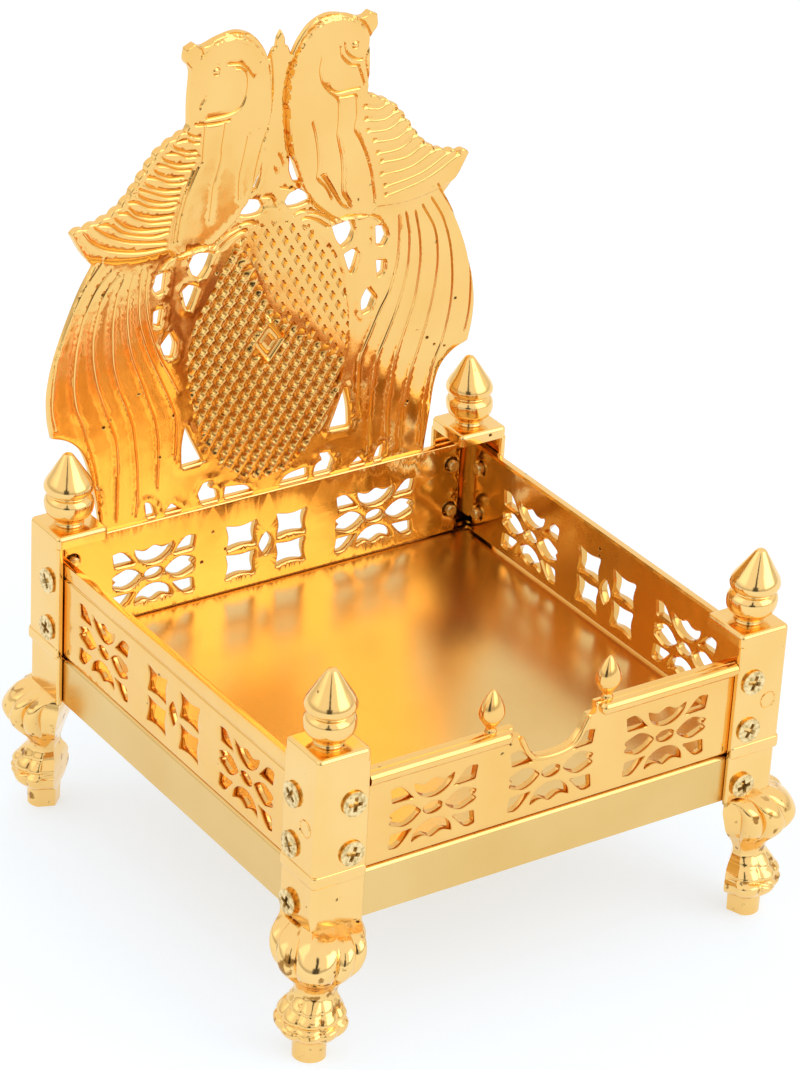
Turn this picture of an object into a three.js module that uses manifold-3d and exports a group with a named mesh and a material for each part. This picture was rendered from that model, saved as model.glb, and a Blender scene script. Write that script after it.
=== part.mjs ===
// Deity simhasan throne: a small gilt cast throne that holds an idol in a household shrine.
// Four corner posts on lion-paw cabriole legs carry three pierced rails, a back casting whose
// lower part is the fourth rail and whose upper part is an openwork pair of peacocks round a
// latticed medallion, and a folded sheet tray. Twenty small cross-head screws hold it together.
// Millimetres, +Z up, origin on the ground under the middle of the seat, front towards -Y.

import * as THREE from "three";
import { mergeVertices } from "three/addons/utils/BufferGeometryUtils.js";
import Module from "manifold-3d";

const wasm = await Module();
wasm.setup();

// Whole throne
const seatWidth = 102;
const fitGap = 0.3;
const overrun = 1;
const weldDistance = 0.0001;

// Corner posts, each an L of two walls under a square cap
const postWidth = 11;
const postWall = 1.5;
const postHeadroom = 5.7;
const capHeight = 2.4;
const capRounding = 0.9;
const collarLift = 0.2;
const collarHeight = 1.9;
const collarProud = 0.35;
const collarBevel = 0.3;
const blockInset = 0.35;
const blockLift = 0.5;
const blockRoot = 0.7;
const sinkIn = 0.6;

// Turned finial on each cap
const finialHeight = 14.5;
const finialRadius = 4.75;

// Cabriole leg, measured from the post's axis outwards along the diagonal
const legReach = 12.5;
const legHalfWidth = 8.9;
const legTop = 26.7;
const legBackInset = 1.4;

// Rails
const railThickness = 1.9;
const railEndGap = 2;
const railLift = 0.5;
const railHeight = 19.7;
const railCornerRadius = 1.5;
const windowPitchShare = 0.3175;
const windowHalfWidthShare = 0.1175;
const windowHalfHeight = 6.2;
const windowSill = 1.9;
const grooveFromTop = 3.1;
const grooveWidth = 0.4;
const grooveDepth = 0.35;

// Front rail's dip, beads and buds
const dipHalfWidthShare = 0.1125;
const dipDepth = 7.8;
const dipRimWidth = 0.9;
const dipRimProud = 0.5;
const beadRadius = 1.3;
const beadProud = 0.35;
const beadFromTop = 1.4;
const beadEndGap = 0.6;
const budSpreadShare = 0.1625;
const budHeight = 8.5;
const budRadius = 2.2;
const budFlatnessShare = 0.8;

// Screws
const screwFromCorner = 7.6;
const screwFromRailTop = 4.5;
const screwFromRailBottom = 5.1;
const screwFromTrayTop = 6.4;
const screwShankRadius = 1.15;
const screwHeadRadius = 2.7;
const screwHeadRise = 0.6;
const screwRimThickness = 0.3;
const screwConeDepth = 0.95;
const screwLength = 4.6;

// Seat tray of folded sheet; its edges stand in the plane of the rails
const trayDepth = 9.7;
const trayBelowLegTop = 0.2;
const trayThickness = 0.8;
const trayBend = 1.1;
const trayCornerNotch = 1.6;

// Peacock back: its outlines are shares of this frame, which stands behind the back rail
const frameHalfWidthShare = 0.962;
const frameHeight = 100;
const panelRoot = 2.6;
const panelSetback = 0.9;
const panelThickness = 1.2;
const panelRelief = 0.45;
const flutingDepth = 0.4;
const medallionMiddleShare = 0.326;
const medallionHalfWidthShare = 0.381;
const medallionHalfHeightShare = 0.28;
const medallionRimWidth = 1.3;
const tailGrooveWidth = 0.7;
const wingGrooveWidth = 0.7;
const diamondHalfWidthShare = 0.067;
const diamondHalfHeightShare = 0.044;
const diamondFrameWidth = 0.9;

// Finishes
const gilt = { color: 0xf0bc5e, roughness: 0.18, metalness: 1 };
const satinBrass = { color: 0xd0ac68, roughness: 0.42, metalness: 1 };
const zinc = { color: 0xb3a988, roughness: 0.4, metalness: 1 };

// What follows from these sizes
const postAxis = seatWidth / 2 - postWidth / 2;
const clearSpan = seatWidth - 2 * postWidth;
const railOuter = seatWidth / 2 - postWall - fitGap;
const railInner = railOuter - railThickness;
const railHalfLength = railInner - railEndGap;
const trayBottom = legTop - trayBelowLegTop;
const trayTop = trayBottom + trayDepth;
const railBottom = trayTop + railLift;
const railTop = railBottom + railHeight;
const postTop = railTop + postHeadroom;
const collarBottom = railBottom + collarLift;
const blockBottom = trayBottom + blockLift;
const windowPitch = windowPitchShare * clearSpan;
const windowHalfWidth = windowHalfWidthShare * clearSpan;
const windowMiddle = railBottom + windowSill + windowHalfHeight;
const grooveHeight = railTop - grooveFromTop;
const beadMiddle = railTop - beadFromTop;
const screwTopHeight = railTop - screwFromRailTop;
const screwLowHeight = railBottom + screwFromRailBottom;
const screwTrayHeight = trayTop - screwFromTrayTop;
const dipHalfWidth = dipHalfWidthShare * clearSpan;
const budSpread = budSpreadShare * clearSpan;
const trayHalfWidth = railOuter;
const frameHalfWidth = (frameHalfWidthShare * seatWidth) / 2;
const frameFoot = railTop - panelRoot;
const panelFront = railInner + panelSetback;
const medallionMiddle = frameFoot + medallionMiddleShare * frameHeight;
const medallionHalfWidth = medallionHalfWidthShare * frameHalfWidth;
const medallionHalfHeight = medallionHalfHeightShare * frameHeight;
const diamondHalfWidth = diamondHalfWidthShare * frameHalfWidth;
const diamondHalfHeight = diamondHalfHeightShare * frameHeight;

// Closed geometry to solid and back

function solidOf(geometry) {
  const bare = geometry.clone();
  bare.deleteAttribute("normal");
  bare.deleteAttribute("uv");
  const welded = mergeVertices(bare, weldDistance);
  const vertProperties = new Float32Array(welded.attributes.position.array);
  const triVerts = new Uint32Array(welded.index.array);
  return new wasm.Manifold(new wasm.Mesh({ numProp: 3, vertProperties, triVerts }));
}

function geometryOf(solid) {
  const mesh = solid.getMesh();
  const geometry = new THREE.BufferGeometry();
  geometry.setAttribute("position", new THREE.BufferAttribute(mesh.vertProperties, 3));
  geometry.setIndex(new THREE.BufferAttribute(mesh.triVerts, 1));
  geometry.computeVertexNormals();
  return geometry;
}

function joined(geometries) {
  return geometries.map(solidOf).reduce((sum, next) => sum.add(next));
}

function cut(solid, cutters) {
  return cutters.map(solidOf).reduce((left, cutter) => left.subtract(cutter), solid);
}

// Outline helpers

const point = (x, y) => new THREE.Vector2(x, y);

function shapeOf(points, holes = []) {
  const shape = new THREE.Shape(points);
  shape.holes = holes.map((hole) => new THREE.Path(hole));
  return shape;
}

function mirrored(points) {
  return points.map((p) => point(-p.x, p.y)).reverse();
}

function ellipsePoints(x, y, radiusX, radiusY, steps) {
  return Array.from({ length: steps }, (_, i) => {
    const angle = (2 * Math.PI * (i + 0.5)) / steps;
    return point(x + radiusX * Math.cos(angle), y + radiusY * Math.sin(angle));
  });
}

// A stroke of the given width along a line of points, pointed at both ends
function strokeOutline(points, width) {
  const sides = points.slice(1, -1).map((p, i) => {
    const along = points[i + 2].clone().sub(points[i]).normalize();
    return point(-along.y, along.x).multiplyScalar(width / 2);
  });
  const left = sides.map((side, i) => points[i + 1].clone().add(side));
  const right = sides.map((side, i) => points[i + 1].clone().sub(side));
  return [points[0], ...right, points[points.length - 1], ...left.reverse()];
}

// A flat slab whose outline lies in X and Z, between two depths in Y
function slab(shape, front, back) {
  const geometry = new THREE.ExtrudeGeometry(shape, { depth: back - front, bevelEnabled: false });
  geometry.rotateX(Math.PI / 2);
  geometry.translate(0, back, 0);
  return geometry;
}

// Cuts outlines right through a plate that stands between two depths in Y
function pierced(solid, outlines, front, back) {
  return cut(
    solid,
    outlines.map((outline) => slab(shapeOf(outline), front - overrun, back + overrun)),
  );
}

// A turned form on the Z axis from points of radius and height
function turned(points, steps) {
  const geometry = new THREE.LatheGeometry(points, steps);
  geometry.rotateX(Math.PI / 2);
  return geometry;
}

// Screws and their seats

const screwSides = 8;

function screwGeometry() {
  return turned(
    [
      point(0, -screwLength),
      point(screwShankRadius, -screwLength + screwShankRadius),
      point(screwShankRadius, -screwConeDepth),
      point(screwHeadRadius, screwHeadRise - screwRimThickness),
      point(screwHeadRadius, screwHeadRise),
      point(0, screwHeadRise),
    ],
    screwSides,
  );
}

// The clearance hole that a screw passes through, with its countersink
function screwCutter() {
  const holeRadius = screwShankRadius + fitGap;
  const slope = (screwHeadRadius - screwShankRadius) / (screwHeadRise - screwRimThickness + screwConeDepth);
  const mouthRadius = holeRadius + slope * (screwConeDepth + overrun);
  return turned(
    [
      point(0, -screwLength),
      point(holeRadius, -screwLength),
      point(holeRadius, -screwConeDepth),
      point(mouthRadius, overrun),
      point(0, overrun),
    ],
    screwSides,
  );
}

// Where the screws enter a post: side A takes three, side B two, both seen from outside
const seatRows = [
  { side: "a", level: "top", height: screwTopHeight },
  { side: "a", level: "low", height: screwLowHeight },
  { side: "a", level: "tray", height: screwTrayHeight },
  { side: "b", level: "top", height: screwTopHeight },
  { side: "b", level: "low", height: screwLowHeight },
];

function placeOnSeat(object, row) {
  const across = -postWidth / 2 + screwFromCorner;
  if (row.side === "a") {
    object.position.set(-postWidth / 2, across, row.height);
    object.rotation.y = -Math.PI / 2;
  } else {
    object.position.set(across, -postWidth / 2, row.height);
    object.rotation.x = Math.PI / 2;
  }
  object.updateMatrix();
  return object;
}

// Corner post, about its own axis, with its outer corner towards -X and -Y

// Plan of the two walls, with their outer faces moved out by an amount
function anglePlan(outset) {
  const outer = postWidth / 2 + outset;
  const inner = postWidth / 2 - postWall;
  const end = postWidth / 2;
  return [
    point(-outer, -outer),
    point(end, -outer),
    point(end, -inner),
    point(-inner, -inner),
    point(-inner, end),
    point(-outer, end),
  ];
}

function angleBar(outset, bottom, top) {
  const shape = shapeOf(anglePlan(outset));
  const geometry = new THREE.ExtrudeGeometry(shape, { depth: top - bottom, bevelEnabled: false });
  geometry.translate(0, 0, bottom);
  return geometry;
}

// The collar is a band with a sloped top and bottom, proud of the post's two outer faces
function collarBand() {
  const faces = [
    { outset: 0, height: -collarBevel },
    { outset: collarProud, height: 0 },
    { outset: collarProud, height: collarHeight - collarBevel },
    { outset: 0, height: collarHeight },
  ];
  const rings = faces.map(({ outset, height }) =>
    anglePlan(outset).map((p) => new THREE.Vector3(p.x, p.y, collarBottom + height)),
  );
  return loft(rings);
}

// A closed skin through rings of points, each ring anticlockwise seen from above
function loft(rings) {
  const count = rings[0].length;
  const positions = rings.flat().flatMap((p) => [p.x, p.y, p.z]);
  const index = [];
  for (let ring = 0; ring + 1 < rings.length; ring += 1) {
    for (let i = 0; i < count; i += 1) {
      const a = ring * count + i;
      const b = ring * count + ((i + 1) % count);
      index.push(a, b, b + count, a, b + count, a + count);
    }
  }
  const outline = rings[0].map((p) => point(p.x, p.y));
  const last = (rings.length - 1) * count;
  for (const [a, b, c] of THREE.ShapeUtils.triangulateShape(outline, [])) {
    index.push(a, c, b);
  }
  const topOutline = rings[rings.length - 1].map((p) => point(p.x, p.y));
  for (const [a, b, c] of THREE.ShapeUtils.triangulateShape(topOutline, [])) {
    index.push(last + a, last + b, last + c);
  }
  const geometry = new THREE.BufferGeometry();
  geometry.setAttribute("position", new THREE.Float32BufferAttribute(positions, 3));
  geometry.setIndex(index);
  return geometry;
}

function cap() {
  const half = postWidth / 2 - capRounding;
  const shape = shapeOf([point(-half, -half), point(half, -half), point(half, half), point(-half, half)]);
  const geometry = new THREE.ExtrudeGeometry(shape, {
    depth: capHeight - 2 * capRounding,
    bevelThickness: capRounding,
    bevelSize: capRounding,
    bevelSegments: 3,
  });
  geometry.translate(0, 0, postTop - capHeight + capRounding);
  return geometry;
}

// Finial from the foot up: flared foot, fat ring, neck and cone, as shares of radius and height
const finialShares = [
  [0.72, 0],
  [0.62, 0.06],
  [0.68, 0.13],
  [0.9, 0.21],
  [1, 0.3],
  [0.76, 0.415],
  [0.9, 0.45],
  [1, 0.52],
  [0.86, 0.64],
  [0.5, 0.83],
  [0.14, 0.98],
];
const finialSides = 12;

function finial() {
  const outline = finialShares.map(([radius, height]) =>
    point(radius * finialRadius, postTop + height * finialHeight),
  );
  const foot = postTop - sinkIn;
  return turned(
    [point(0, foot), point(outline[0].x, foot), ...outline, point(0, postTop + finialHeight)],
    finialSides,
  );
}

// Cabriole leg from the ground up: height, outward reach, half width, middle, back, depth of the
// flutes, set to one side and, where the leg squares off into the block, how square its front is.
// Height is a share of the leg, reach, middle and back of its reach, width and set of its half width.
const legShares = [
  [0, 0.61, 0.35, 0.37, 0.13, 0, 0],
  [0.155, 0.62, 0.365, 0.37, 0.12, 0, 0],
  [0.165, 0.66, 0.45, 0.34, 0.1, 0.02, 0],
  [0.195, 0.76, 0.62, 0.3, 0.09, 0.09, 0],
  [0.24, 0.85, 0.75, 0.26, 0.08, 0.12, 0],
  [0.29, 0.88, 0.78, 0.25, 0.08, 0.12, 0],
  [0.32, 0.82, 0.7, 0.25, 0.08, 0.05, 0.01],
  [0.355, 0.85, 0.73, 0.25, 0.08, 0.1, 0.01],
  [0.41, 0.77, 0.63, 0.25, 0.09, 0.1, 0.025],
  [0.465, 0.67, 0.51, 0.26, 0.12, 0.05, 0.045],
  [0.51, 0.61, 0.45, 0.27, 0.14, 0.01, 0.05],
  [0.565, 0.62, 0.49, 0.26, 0.12, 0.03, 0.055],
  [0.635, 0.7, 0.62, 0.25, 0.08, 0.07, 0.065],
  [0.71, 0.83, 0.8, 0.24, 0.04, 0.1, 0.075],
  [0.79, 0.95, 0.94, 0.24, 0, 0.11, 0.08],
  [0.87, 1, 1, 0.24, -0.03, 0.1, 0.08],
  [0.935, 0.95, 0.97, 0.23, -0.05, 0.08, 0.08],
  [0.97, 0.84, 0.93, 0.18, -0.05, 0.05, 0.06, 0.2],
  [0.99, 0.7, 0.86, 0.1, -0.04, 0.03, 0.03, 0.6],
  [1.01, 0.55, 0.77, 0, -0.04, 0, 0, 1],
];
const fluteCount = 5;
const stepsPerFlute = 3;

function legRing(shares) {
  const [heightShare, reachShare, widthShare, middleShare, backShare, fluteShare, asideShare] = shares;
  const squareShare = shares[7] ?? 0;
  const out = point(-Math.SQRT1_2, -Math.SQRT1_2);
  const side = point(Math.SQRT1_2, -Math.SQRT1_2);
  const middle = middleShare * legReach;
  const reach = reachShare * legReach - middle;
  const halfWidth = widthShare * legHalfWidth;
  const aside = asideShare * legHalfWidth;
  const steps = fluteCount * stepsPerFlute;
  const height = heightShare * legTop;
  const at = (outward, sideways) =>
    new THREE.Vector3(
      outward * out.x + (sideways + aside) * side.x,
      outward * out.y + (sideways + aside) * side.y,
      height,
    );
  const ring = [];
  for (let i = 0; i <= steps; i += 1) {
    const angle = Math.PI * (i / steps - 0.5);
    const flute = 1 - fluteShare * (1 - Math.abs(Math.cos(fluteCount * angle)));
    const square = 1 / (Math.cos(angle) + Math.abs(Math.sin(angle)));
    const scale = flute * (1 - squareShare + squareShare * square);
    ring.push(at(middle + reach * Math.cos(angle) * scale, halfWidth * Math.sin(angle) * scale));
  }
  const back = backShare * legReach;
  const backHalf = Math.max(halfWidth - legBackInset, halfWidth / 2);
  ring.push(at(back, backHalf), at(back, -backHalf));
  return ring;
}

function leg() {
  return loft(legShares.map(legRing));
}

// The top of the leg is cut down inside the walls, to a shelf for the tray's folded edges
function trayShelf() {
  const inner = postWidth / 2 - postWall;
  const reach = 2 * postWidth;
  const block = new THREE.BoxGeometry(reach, reach, reach);
  block.translate(reach / 2 - inner, reach / 2 - inner, reach / 2 + trayBottom - fitGap);
  return block;
}

function cornerPost() {
  const stand = cut(solidOf(leg()), [trayShelf()]);
  const body = joined([
    angleBar(-blockInset, blockBottom - blockRoot, collarBottom + sinkIn),
    angleBar(0, collarBottom, postTop - capRounding - collarBevel),
    collarBand(),
    cap(),
    finial(),
  ]).add(stand);
  const seats = seatRows.map((row) => {
    const cutter = screwCutter();
    cutter.applyMatrix4(placeOnSeat(new THREE.Object3D(), row).matrix);
    return cutter;
  });
  return geometryOf(cut(body, seats));
}

// Pierced windows, as shares of a window's half width and half height, for one quarter
const cornerLeafShares = [
  [0.98, 0.98],
  [0.74, 0.98],
  [0.44, 0.5],
  [0.94, 0.52],
];
const domeScallopShares = [
  [0.46, 0.98],
  [0.22, 0.85],
  [0, 0.98],
  [-0.22, 0.85],
  [-0.46, 0.98],
];
const domeDepthShare = 0.62;
const domeSteps = 6;
const petalShares = [
  [0.28, 0],
  [0.45, 0.21],
  [0.64, 0.31],
  [0.82, 0.23],
  [0.97, 0.14],
  [0.87, 0],
  [0.97, -0.14],
  [0.82, -0.23],
  [0.64, -0.31],
  [0.45, -0.21],
];
const ovalShares = { x: 0.23, y: 0.2 };
const squareShares = [
  [0.25, 0.1],
  [0.6, 0.16],
  [0.97, 0.08],
  [0.92, 0.5],
  [0.99, 0.96],
  [0.62, 0.86],
  [0.24, 0.97],
  [0.3, 0.52],
];
const lozengeShares = [
  [0.17, 0],
  [0.1, 0.26],
  [0, 0.44],
  [-0.1, 0.26],
  [-0.17, 0],
  [-0.1, -0.26],
  [0, -0.44],
  [0.1, -0.26],
];

function windowHoles(shares, middleX, flipX, flipY) {
  const points = shares.map(([x, y]) =>
    point(middleX + flipX * x * windowHalfWidth, windowMiddle + flipY * y * windowHalfHeight),
  );
  return flipX * flipY > 0 ? points : points.reverse();
}

const quarters = [
  [1, 1],
  [-1, 1],
  [1, -1],
  [-1, -1],
];

function domeShares() {
  const arc = Array.from({ length: domeSteps - 1 }, (_, i) => {
    const angle = Math.PI * ((i + 1) / domeSteps);
    const [endShare, chordShare] = domeScallopShares[0];
    return [-endShare * Math.cos(angle), chordShare - domeDepthShare * Math.sin(angle)];
  });
  return [...domeScallopShares, ...arc];
}

function floralWindow(middleX, withTop = true) {
  const corners = quarters.map(([fx, fy]) => windowHoles(cornerLeafShares, middleX, fx, fy));
  const petals = [1, -1].map((fx) => windowHoles(petalShares, middleX, fx, 1));
  const domes = (withTop ? [1, -1] : [-1]).map((fy) => windowHoles(domeShares(), middleX, 1, fy));
  const oval = ellipsePoints(
    middleX,
    windowMiddle,
    ovalShares.x * windowHalfWidth,
    ovalShares.y * windowHalfHeight,
    8,
  );
  return [...corners, ...petals, ...domes, oval];
}

function fourSquareWindow(middleX) {
  const squares = quarters.map(([fx, fy]) => windowHoles(squareShares, middleX, fx, fy));
  return [...squares, windowHoles(lozengeShares, middleX, 1, 1)];
}

function railScrewHoles() {
  const x = seatWidth / 2 - screwFromCorner;
  const radius = screwShankRadius + fitGap;
  return [-x, x].flatMap((middle) =>
    [screwLowHeight, screwTopHeight].map((height) =>
      ellipsePoints(middle, height, radius, radius, screwSides),
    ),
  );
}

// Rail outline from the lower left corner, anticlockwise, with a list of points for its top edge
function railOutline(topEdge) {
  const arc = Array.from({ length: 4 }, (_, i) => {
    const angle = (Math.PI / 2) * (i / 3);
    return point(
      railHalfLength - railCornerRadius * (1 - Math.sin(angle)),
      railBottom + railCornerRadius * (1 - Math.cos(angle)),
    );
  });
  return [...mirrored(arc), ...arc, ...topEdge];
}

const straightTop = [point(railHalfLength, railTop), point(-railHalfLength, railTop)];

// A rail's plate before its windows are cut, and the cutting of them
function railPlate(topEdge) {
  return slab(shapeOf(railOutline(topEdge)), -railOuter, -railInner);
}

function piercedRail(solid, windows) {
  return pierced(solid, [...windows, ...railScrewHoles()], -railOuter, -railInner);
}

// The plain rail has a scored line under the top of its outer face
function plainRail() {
  const groove = new THREE.BoxGeometry(2 * (railHalfLength + overrun), 2 * grooveDepth, grooveWidth);
  groove.translate(0, -railOuter, grooveHeight);
  const windows = [
    ...floralWindow(-windowPitch),
    ...fourSquareWindow(0),
    ...floralWindow(windowPitch),
  ];
  return piercedRail(cut(solidOf(railPlate(straightTop)), [groove]), windows);
}

// Front rail: the dip at the middle of its top edge, as shares of half width and depth
const dipShares = [
  [1, 0],
  [1, 0.27],
  [0.82, 0.27],
  [0.74, 0.46],
  [0.64, 0.69],
  [0.49, 0.885],
  [0.26, 0.975],
  [0, 1],
];

function dipEdge() {
  const half = dipShares.map(([x, depth]) => point(x * dipHalfWidth, railTop - depth * dipDepth));
  return [...half, ...mirrored(half).slice(1)];
}

// Raised rim that follows the dip below its two shoulders
function dipRim() {
  const edge = dipEdge().slice(2, -2);
  const lower = edge.map((p, i) => {
    const before = edge[Math.max(i - 1, 0)];
    const after = edge[Math.min(i + 1, edge.length - 1)];
    const along = after.clone().sub(before).normalize();
    return p.clone().add(point(-along.y, along.x).multiplyScalar(dipRimWidth));
  });
  return slab(shapeOf([...edge, ...lower.reverse()]), -railOuter - dipRimProud, -railInner - sinkIn);
}

// Half-round bead along the top of the front rail, with domed ends
function bead(side) {
  const inner = dipHalfWidth + beadEndGap;
  const outer = seatWidth / 2 - postWidth - fitGap;
  const steps = 3;
  const profile = [];
  for (let i = 0; i <= steps; i += 1) {
    const angle = (Math.PI / 2) * (i / steps);
    profile.push(point(beadRadius * Math.sin(angle), inner - beadRadius * (Math.cos(angle) - 1)));
  }
  profile.push(point(beadRadius, outer), point(0, outer));
  const geometry = turned(profile, 10);
  geometry.rotateY(side * (Math.PI / 2));
  geometry.translate(0, -railOuter - beadProud, beadMiddle);
  return geometry;
}

// Bud finial on the front rail, as shares of radius and height
const budShares = [
  [0.5, 0],
  [0.4, 0.1],
  [0.62, 0.2],
  [0.95, 0.36],
  [1, 0.48],
  [0.84, 0.66],
  [0.45, 0.87],
  [0.16, 0.98],
];

function bud(side) {
  const outline = budShares.map(([radius, height]) => point(radius * budRadius, height * budHeight));
  const geometry = turned(
    [point(0, -sinkIn), point(outline[0].x, -sinkIn), ...outline, point(0, budHeight)],
    10,
  );
  geometry.scale(1, budFlatnessShare, 1);
  geometry.translate(side * budSpread, -(railOuter + railInner) / 2, railTop);
  return geometry;
}

function frontRail() {
  const topEdge = [straightTop[0], ...dipEdge(), straightTop[1]];
  const windows = [
    ...floralWindow(-windowPitch),
    ...floralWindow(0, false),
    ...floralWindow(windowPitch),
  ];
  const trim = [dipRim(), bead(-1), bead(1), bud(-1), bud(1)];
  return geometryOf(piercedRail(joined([railPlate(topEdge), ...trim]), windows));
}

// Peacock back. Points are shares of the frame: half width across, height up from its foot.

const framePoint = ([x, z]) => point(x * frameHalfWidth, frameFoot + z * frameHeight);

const tailOuterShares = [
  [0.75, 0],
  [0.76, 0.056],
  [0.78, 0.116],
  [0.8, 0.17],
  [0.83, 0.208],
  [0.885, 0.234],
  [0.955, 0.248],
  [0.97, 0.29],
  [0.972, 0.34],
  [0.95, 0.4],
  [0.905, 0.466],
  [0.845, 0.536],
  [0.79, 0.584],
];
const wingUnderShares = [
  [0.79, 0.584],
  [0.845, 0.617],
  [0.89, 0.657],
];
const wingEdgeShares = [
  [0.89, 0.66],
  [0.81, 0.667],
  [0.74, 0.677],
  [0.68, 0.695],
  [0.63, 0.721],
  [0.58, 0.754],
  [0.53, 0.784],
  [0.47, 0.804],
  [0.405, 0.818],
];
const scallopCount = 11;
const scallopShare = 0.011;
const headShares = [
  [0.398, 0.83],
  [0.4, 0.88],
  [0.396, 0.935],
  [0.424, 0.958],
  [0.42, 0.982],
  [0.386, 0.99],
  [0.35, 0.981],
  [0.28, 0.992],
  [0.2, 0.998],
  [0.13, 0.985],
  [0.08, 0.958],
  [0.05, 0.93],
  [0.034, 0.948],
  [0.022, 0.95],
  [0.016, 0.968],
  [0, 0.982],
];

// The wing's upper edge, with a small bump for the tip of each feather
function wingEdge() {
  const line = new THREE.SplineCurve(wingEdgeShares.map(framePoint));
  const bump = scallopShare * frameHalfWidth;
  const points = [];
  for (let i = 0; i <= 2 * scallopCount; i += 1) {
    const at = i / (2 * scallopCount);
    const along = line.getTangentAt(at);
    const lift = i % 2 ? bump : 0;
    points.push(line.getPointAt(at).add(point(along.y, -along.x).multiplyScalar(lift)));
  }
  return points;
}

function panelOutline() {
  const half = [
    ...tailOuterShares.map(framePoint),
    ...wingUnderShares.slice(1).map(framePoint),
    ...wingEdge().slice(1),
    ...headShares.map(framePoint),
  ];
  return [...half, ...mirrored(half).slice(1)];
}

// Openings between the figures, for the right half
const openingShares = {
  stemUpper: [
    [0.068, 0.728],
    [0.062, 0.699],
    [0.082, 0.672],
    [0.116, 0.668],
    [0.094, 0.696],
  ],
  stemLower: [
    [0.048, 0.632],
    [0.064, 0.622],
    [0.11, 0.62],
    [0.166, 0.626],
    [0.148, 0.642],
    [0.112, 0.654],
    [0.068, 0.648],
  ],
  shoulderUpper: [
    [0.268, 0.562],
    [0.292, 0.532],
    [0.322, 0.512],
    [0.356, 0.524],
    [0.374, 0.546],
    [0.352, 0.568],
  ],
  shoulderLower: [
    [0.33, 0.498],
    [0.352, 0.468],
    [0.368, 0.452],
    [0.382, 0.462],
    [0.4, 0.496],
    [0.372, 0.506],
  ],
  tailTop: [
    [0.472, 0.544],
    [0.48, 0.502],
    [0.512, 0.498],
    [0.532, 0.516],
    [0.512, 0.54],
  ],
  tailMiddle: [
    [0.484, 0.47],
    [0.494, 0.432],
    [0.524, 0.44],
    [0.524, 0.466],
  ],
  tailLow: [
    [0.448, 0.416],
    [0.424, 0.39],
    [0.432, 0.36],
    [0.468, 0.366],
    [0.488, 0.392],
  ],
  besideMedallion: [
    [0.366, 0.21],
    [0.326, 0.162],
    [0.29, 0.122],
    [0.388, 0.12],
    [0.384, 0.166],
  ],
  scrollInner: [
    [0.06, 0.03],
    [0.196, 0.03],
    [0.19, 0.054],
    [0.1, 0.047],
  ],
  scrollHook: [
    [0.22, 0.03],
    [0.3, 0.03],
    [0.316, 0.054],
    [0.292, 0.074],
    [0.246, 0.076],
    [0.262, 0.06],
    [0.232, 0.052],
  ],
  scrollOuter: [
    [0.39, 0.03],
    [0.47, 0.03],
    [0.436, 0.048],
  ],
  scrollTail: [
    [0.505, 0.03],
    [0.548, 0.03],
    [0.556, 0.064],
    [0.526, 0.056],
  ],
};

const birdShares = [
  [0.046, 0.79],
  [0.062, 0.742],
  [0.09, 0.694],
  [0.138, 0.642],
  [0.206, 0.606],
  [0.3, 0.574],
  [0.42, 0.566],
  [0.47, 0.586],
  [0.41, 0.66],
  [0.366, 0.74],
  [0.35, 0.81],
  [0.388, 0.84],
  [0.386, 0.93],
  [0.35, 0.966],
  [0.28, 0.984],
  [0.2, 0.988],
  [0.136, 0.974],
  [0.088, 0.948],
  [0.056, 0.912],
  [0.038, 0.85],
];
const tailInnerShares = [
  [0.55, 0.55],
  [0.532, 0.446],
  [0.492, 0.38],
  [0.432, 0.32],
  [0.396, 0.26],
  [0.392, 0.2],
  [0.4, 0.14],
  [0.43, 0.09],
  [0.48, 0.04],
];
const tailLastShares = [
  [0.72, 0.565],
  [0.8, 0.476],
  [0.836, 0.396],
  [0.82, 0.316],
  [0.786, 0.24],
  [0.752, 0.18],
  [0.726, 0.13],
  [0.71, 0.085],
  [0.7, 0.04],
];
const tailGrooveCount = 6;
const tailGrooveSteps = 6;
const wingRootShares = [
  [0.39, 0.8],
  [0.47, 0.6],
];
const wingTipShares = [
  [0.47, 0.794],
  [0.575, 0.744],
  [0.68, 0.684],
  [0.81, 0.656],
  [0.79, 0.612],
];
const wingGrooveCount = 11;
const wingSagShare = 0.012;

function tailGrooves() {
  const inner = new THREE.SplineCurve(tailInnerShares.map(framePoint));
  const last = new THREE.SplineCurve(tailLastShares.map(framePoint));
  return Array.from({ length: tailGrooveCount }, (_, groove) => {
    const across = groove / (tailGrooveCount - 1);
    const line = Array.from({ length: tailGrooveSteps + 1 }, (_, i) =>
      inner.getPoint(i / tailGrooveSteps).lerp(last.getPoint(i / tailGrooveSteps), across),
    );
    return strokeOutline(line, tailGrooveWidth);
  });
}

function wingGrooves() {
  const [rootTop, rootFoot] = wingRootShares.map(framePoint);
  const tips = new THREE.SplineCurve(wingTipShares.map(framePoint));
  return Array.from({ length: wingGrooveCount }, (_, groove) => {
    const across = groove / (wingGrooveCount - 1);
    const root = rootTop.clone().lerp(rootFoot, across);
    const tip = tips.getPoint(across);
    const middle = root.clone().lerp(tip, 0.5);
    middle.y -= wingSagShare * frameHeight;
    return strokeOutline([root, middle, tip], wingGrooveWidth);
  });
}

function medallionRim() {
  const steps = 36;
  const inner = ellipsePoints(
    0,
    medallionMiddle,
    medallionHalfWidth - medallionRimWidth,
    medallionHalfHeight - medallionRimWidth,
    steps,
  );
  return shapeOf(
    ellipsePoints(0, medallionMiddle, medallionHalfWidth, medallionHalfHeight, steps),
    [inner],
  );
}

function centreDiamond() {
  const outline = (inset) => {
    const halfWidth = diamondHalfWidth - inset;
    const halfHeight = diamondHalfHeight - inset;
    return [
      point(halfWidth, medallionMiddle),
      point(0, medallionMiddle + halfHeight),
      point(-halfWidth, medallionMiddle),
      point(0, medallionMiddle - halfHeight),
    ];
  };
  return shapeOf(outline(0), [outline(diamondFrameWidth)]);
}

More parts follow.
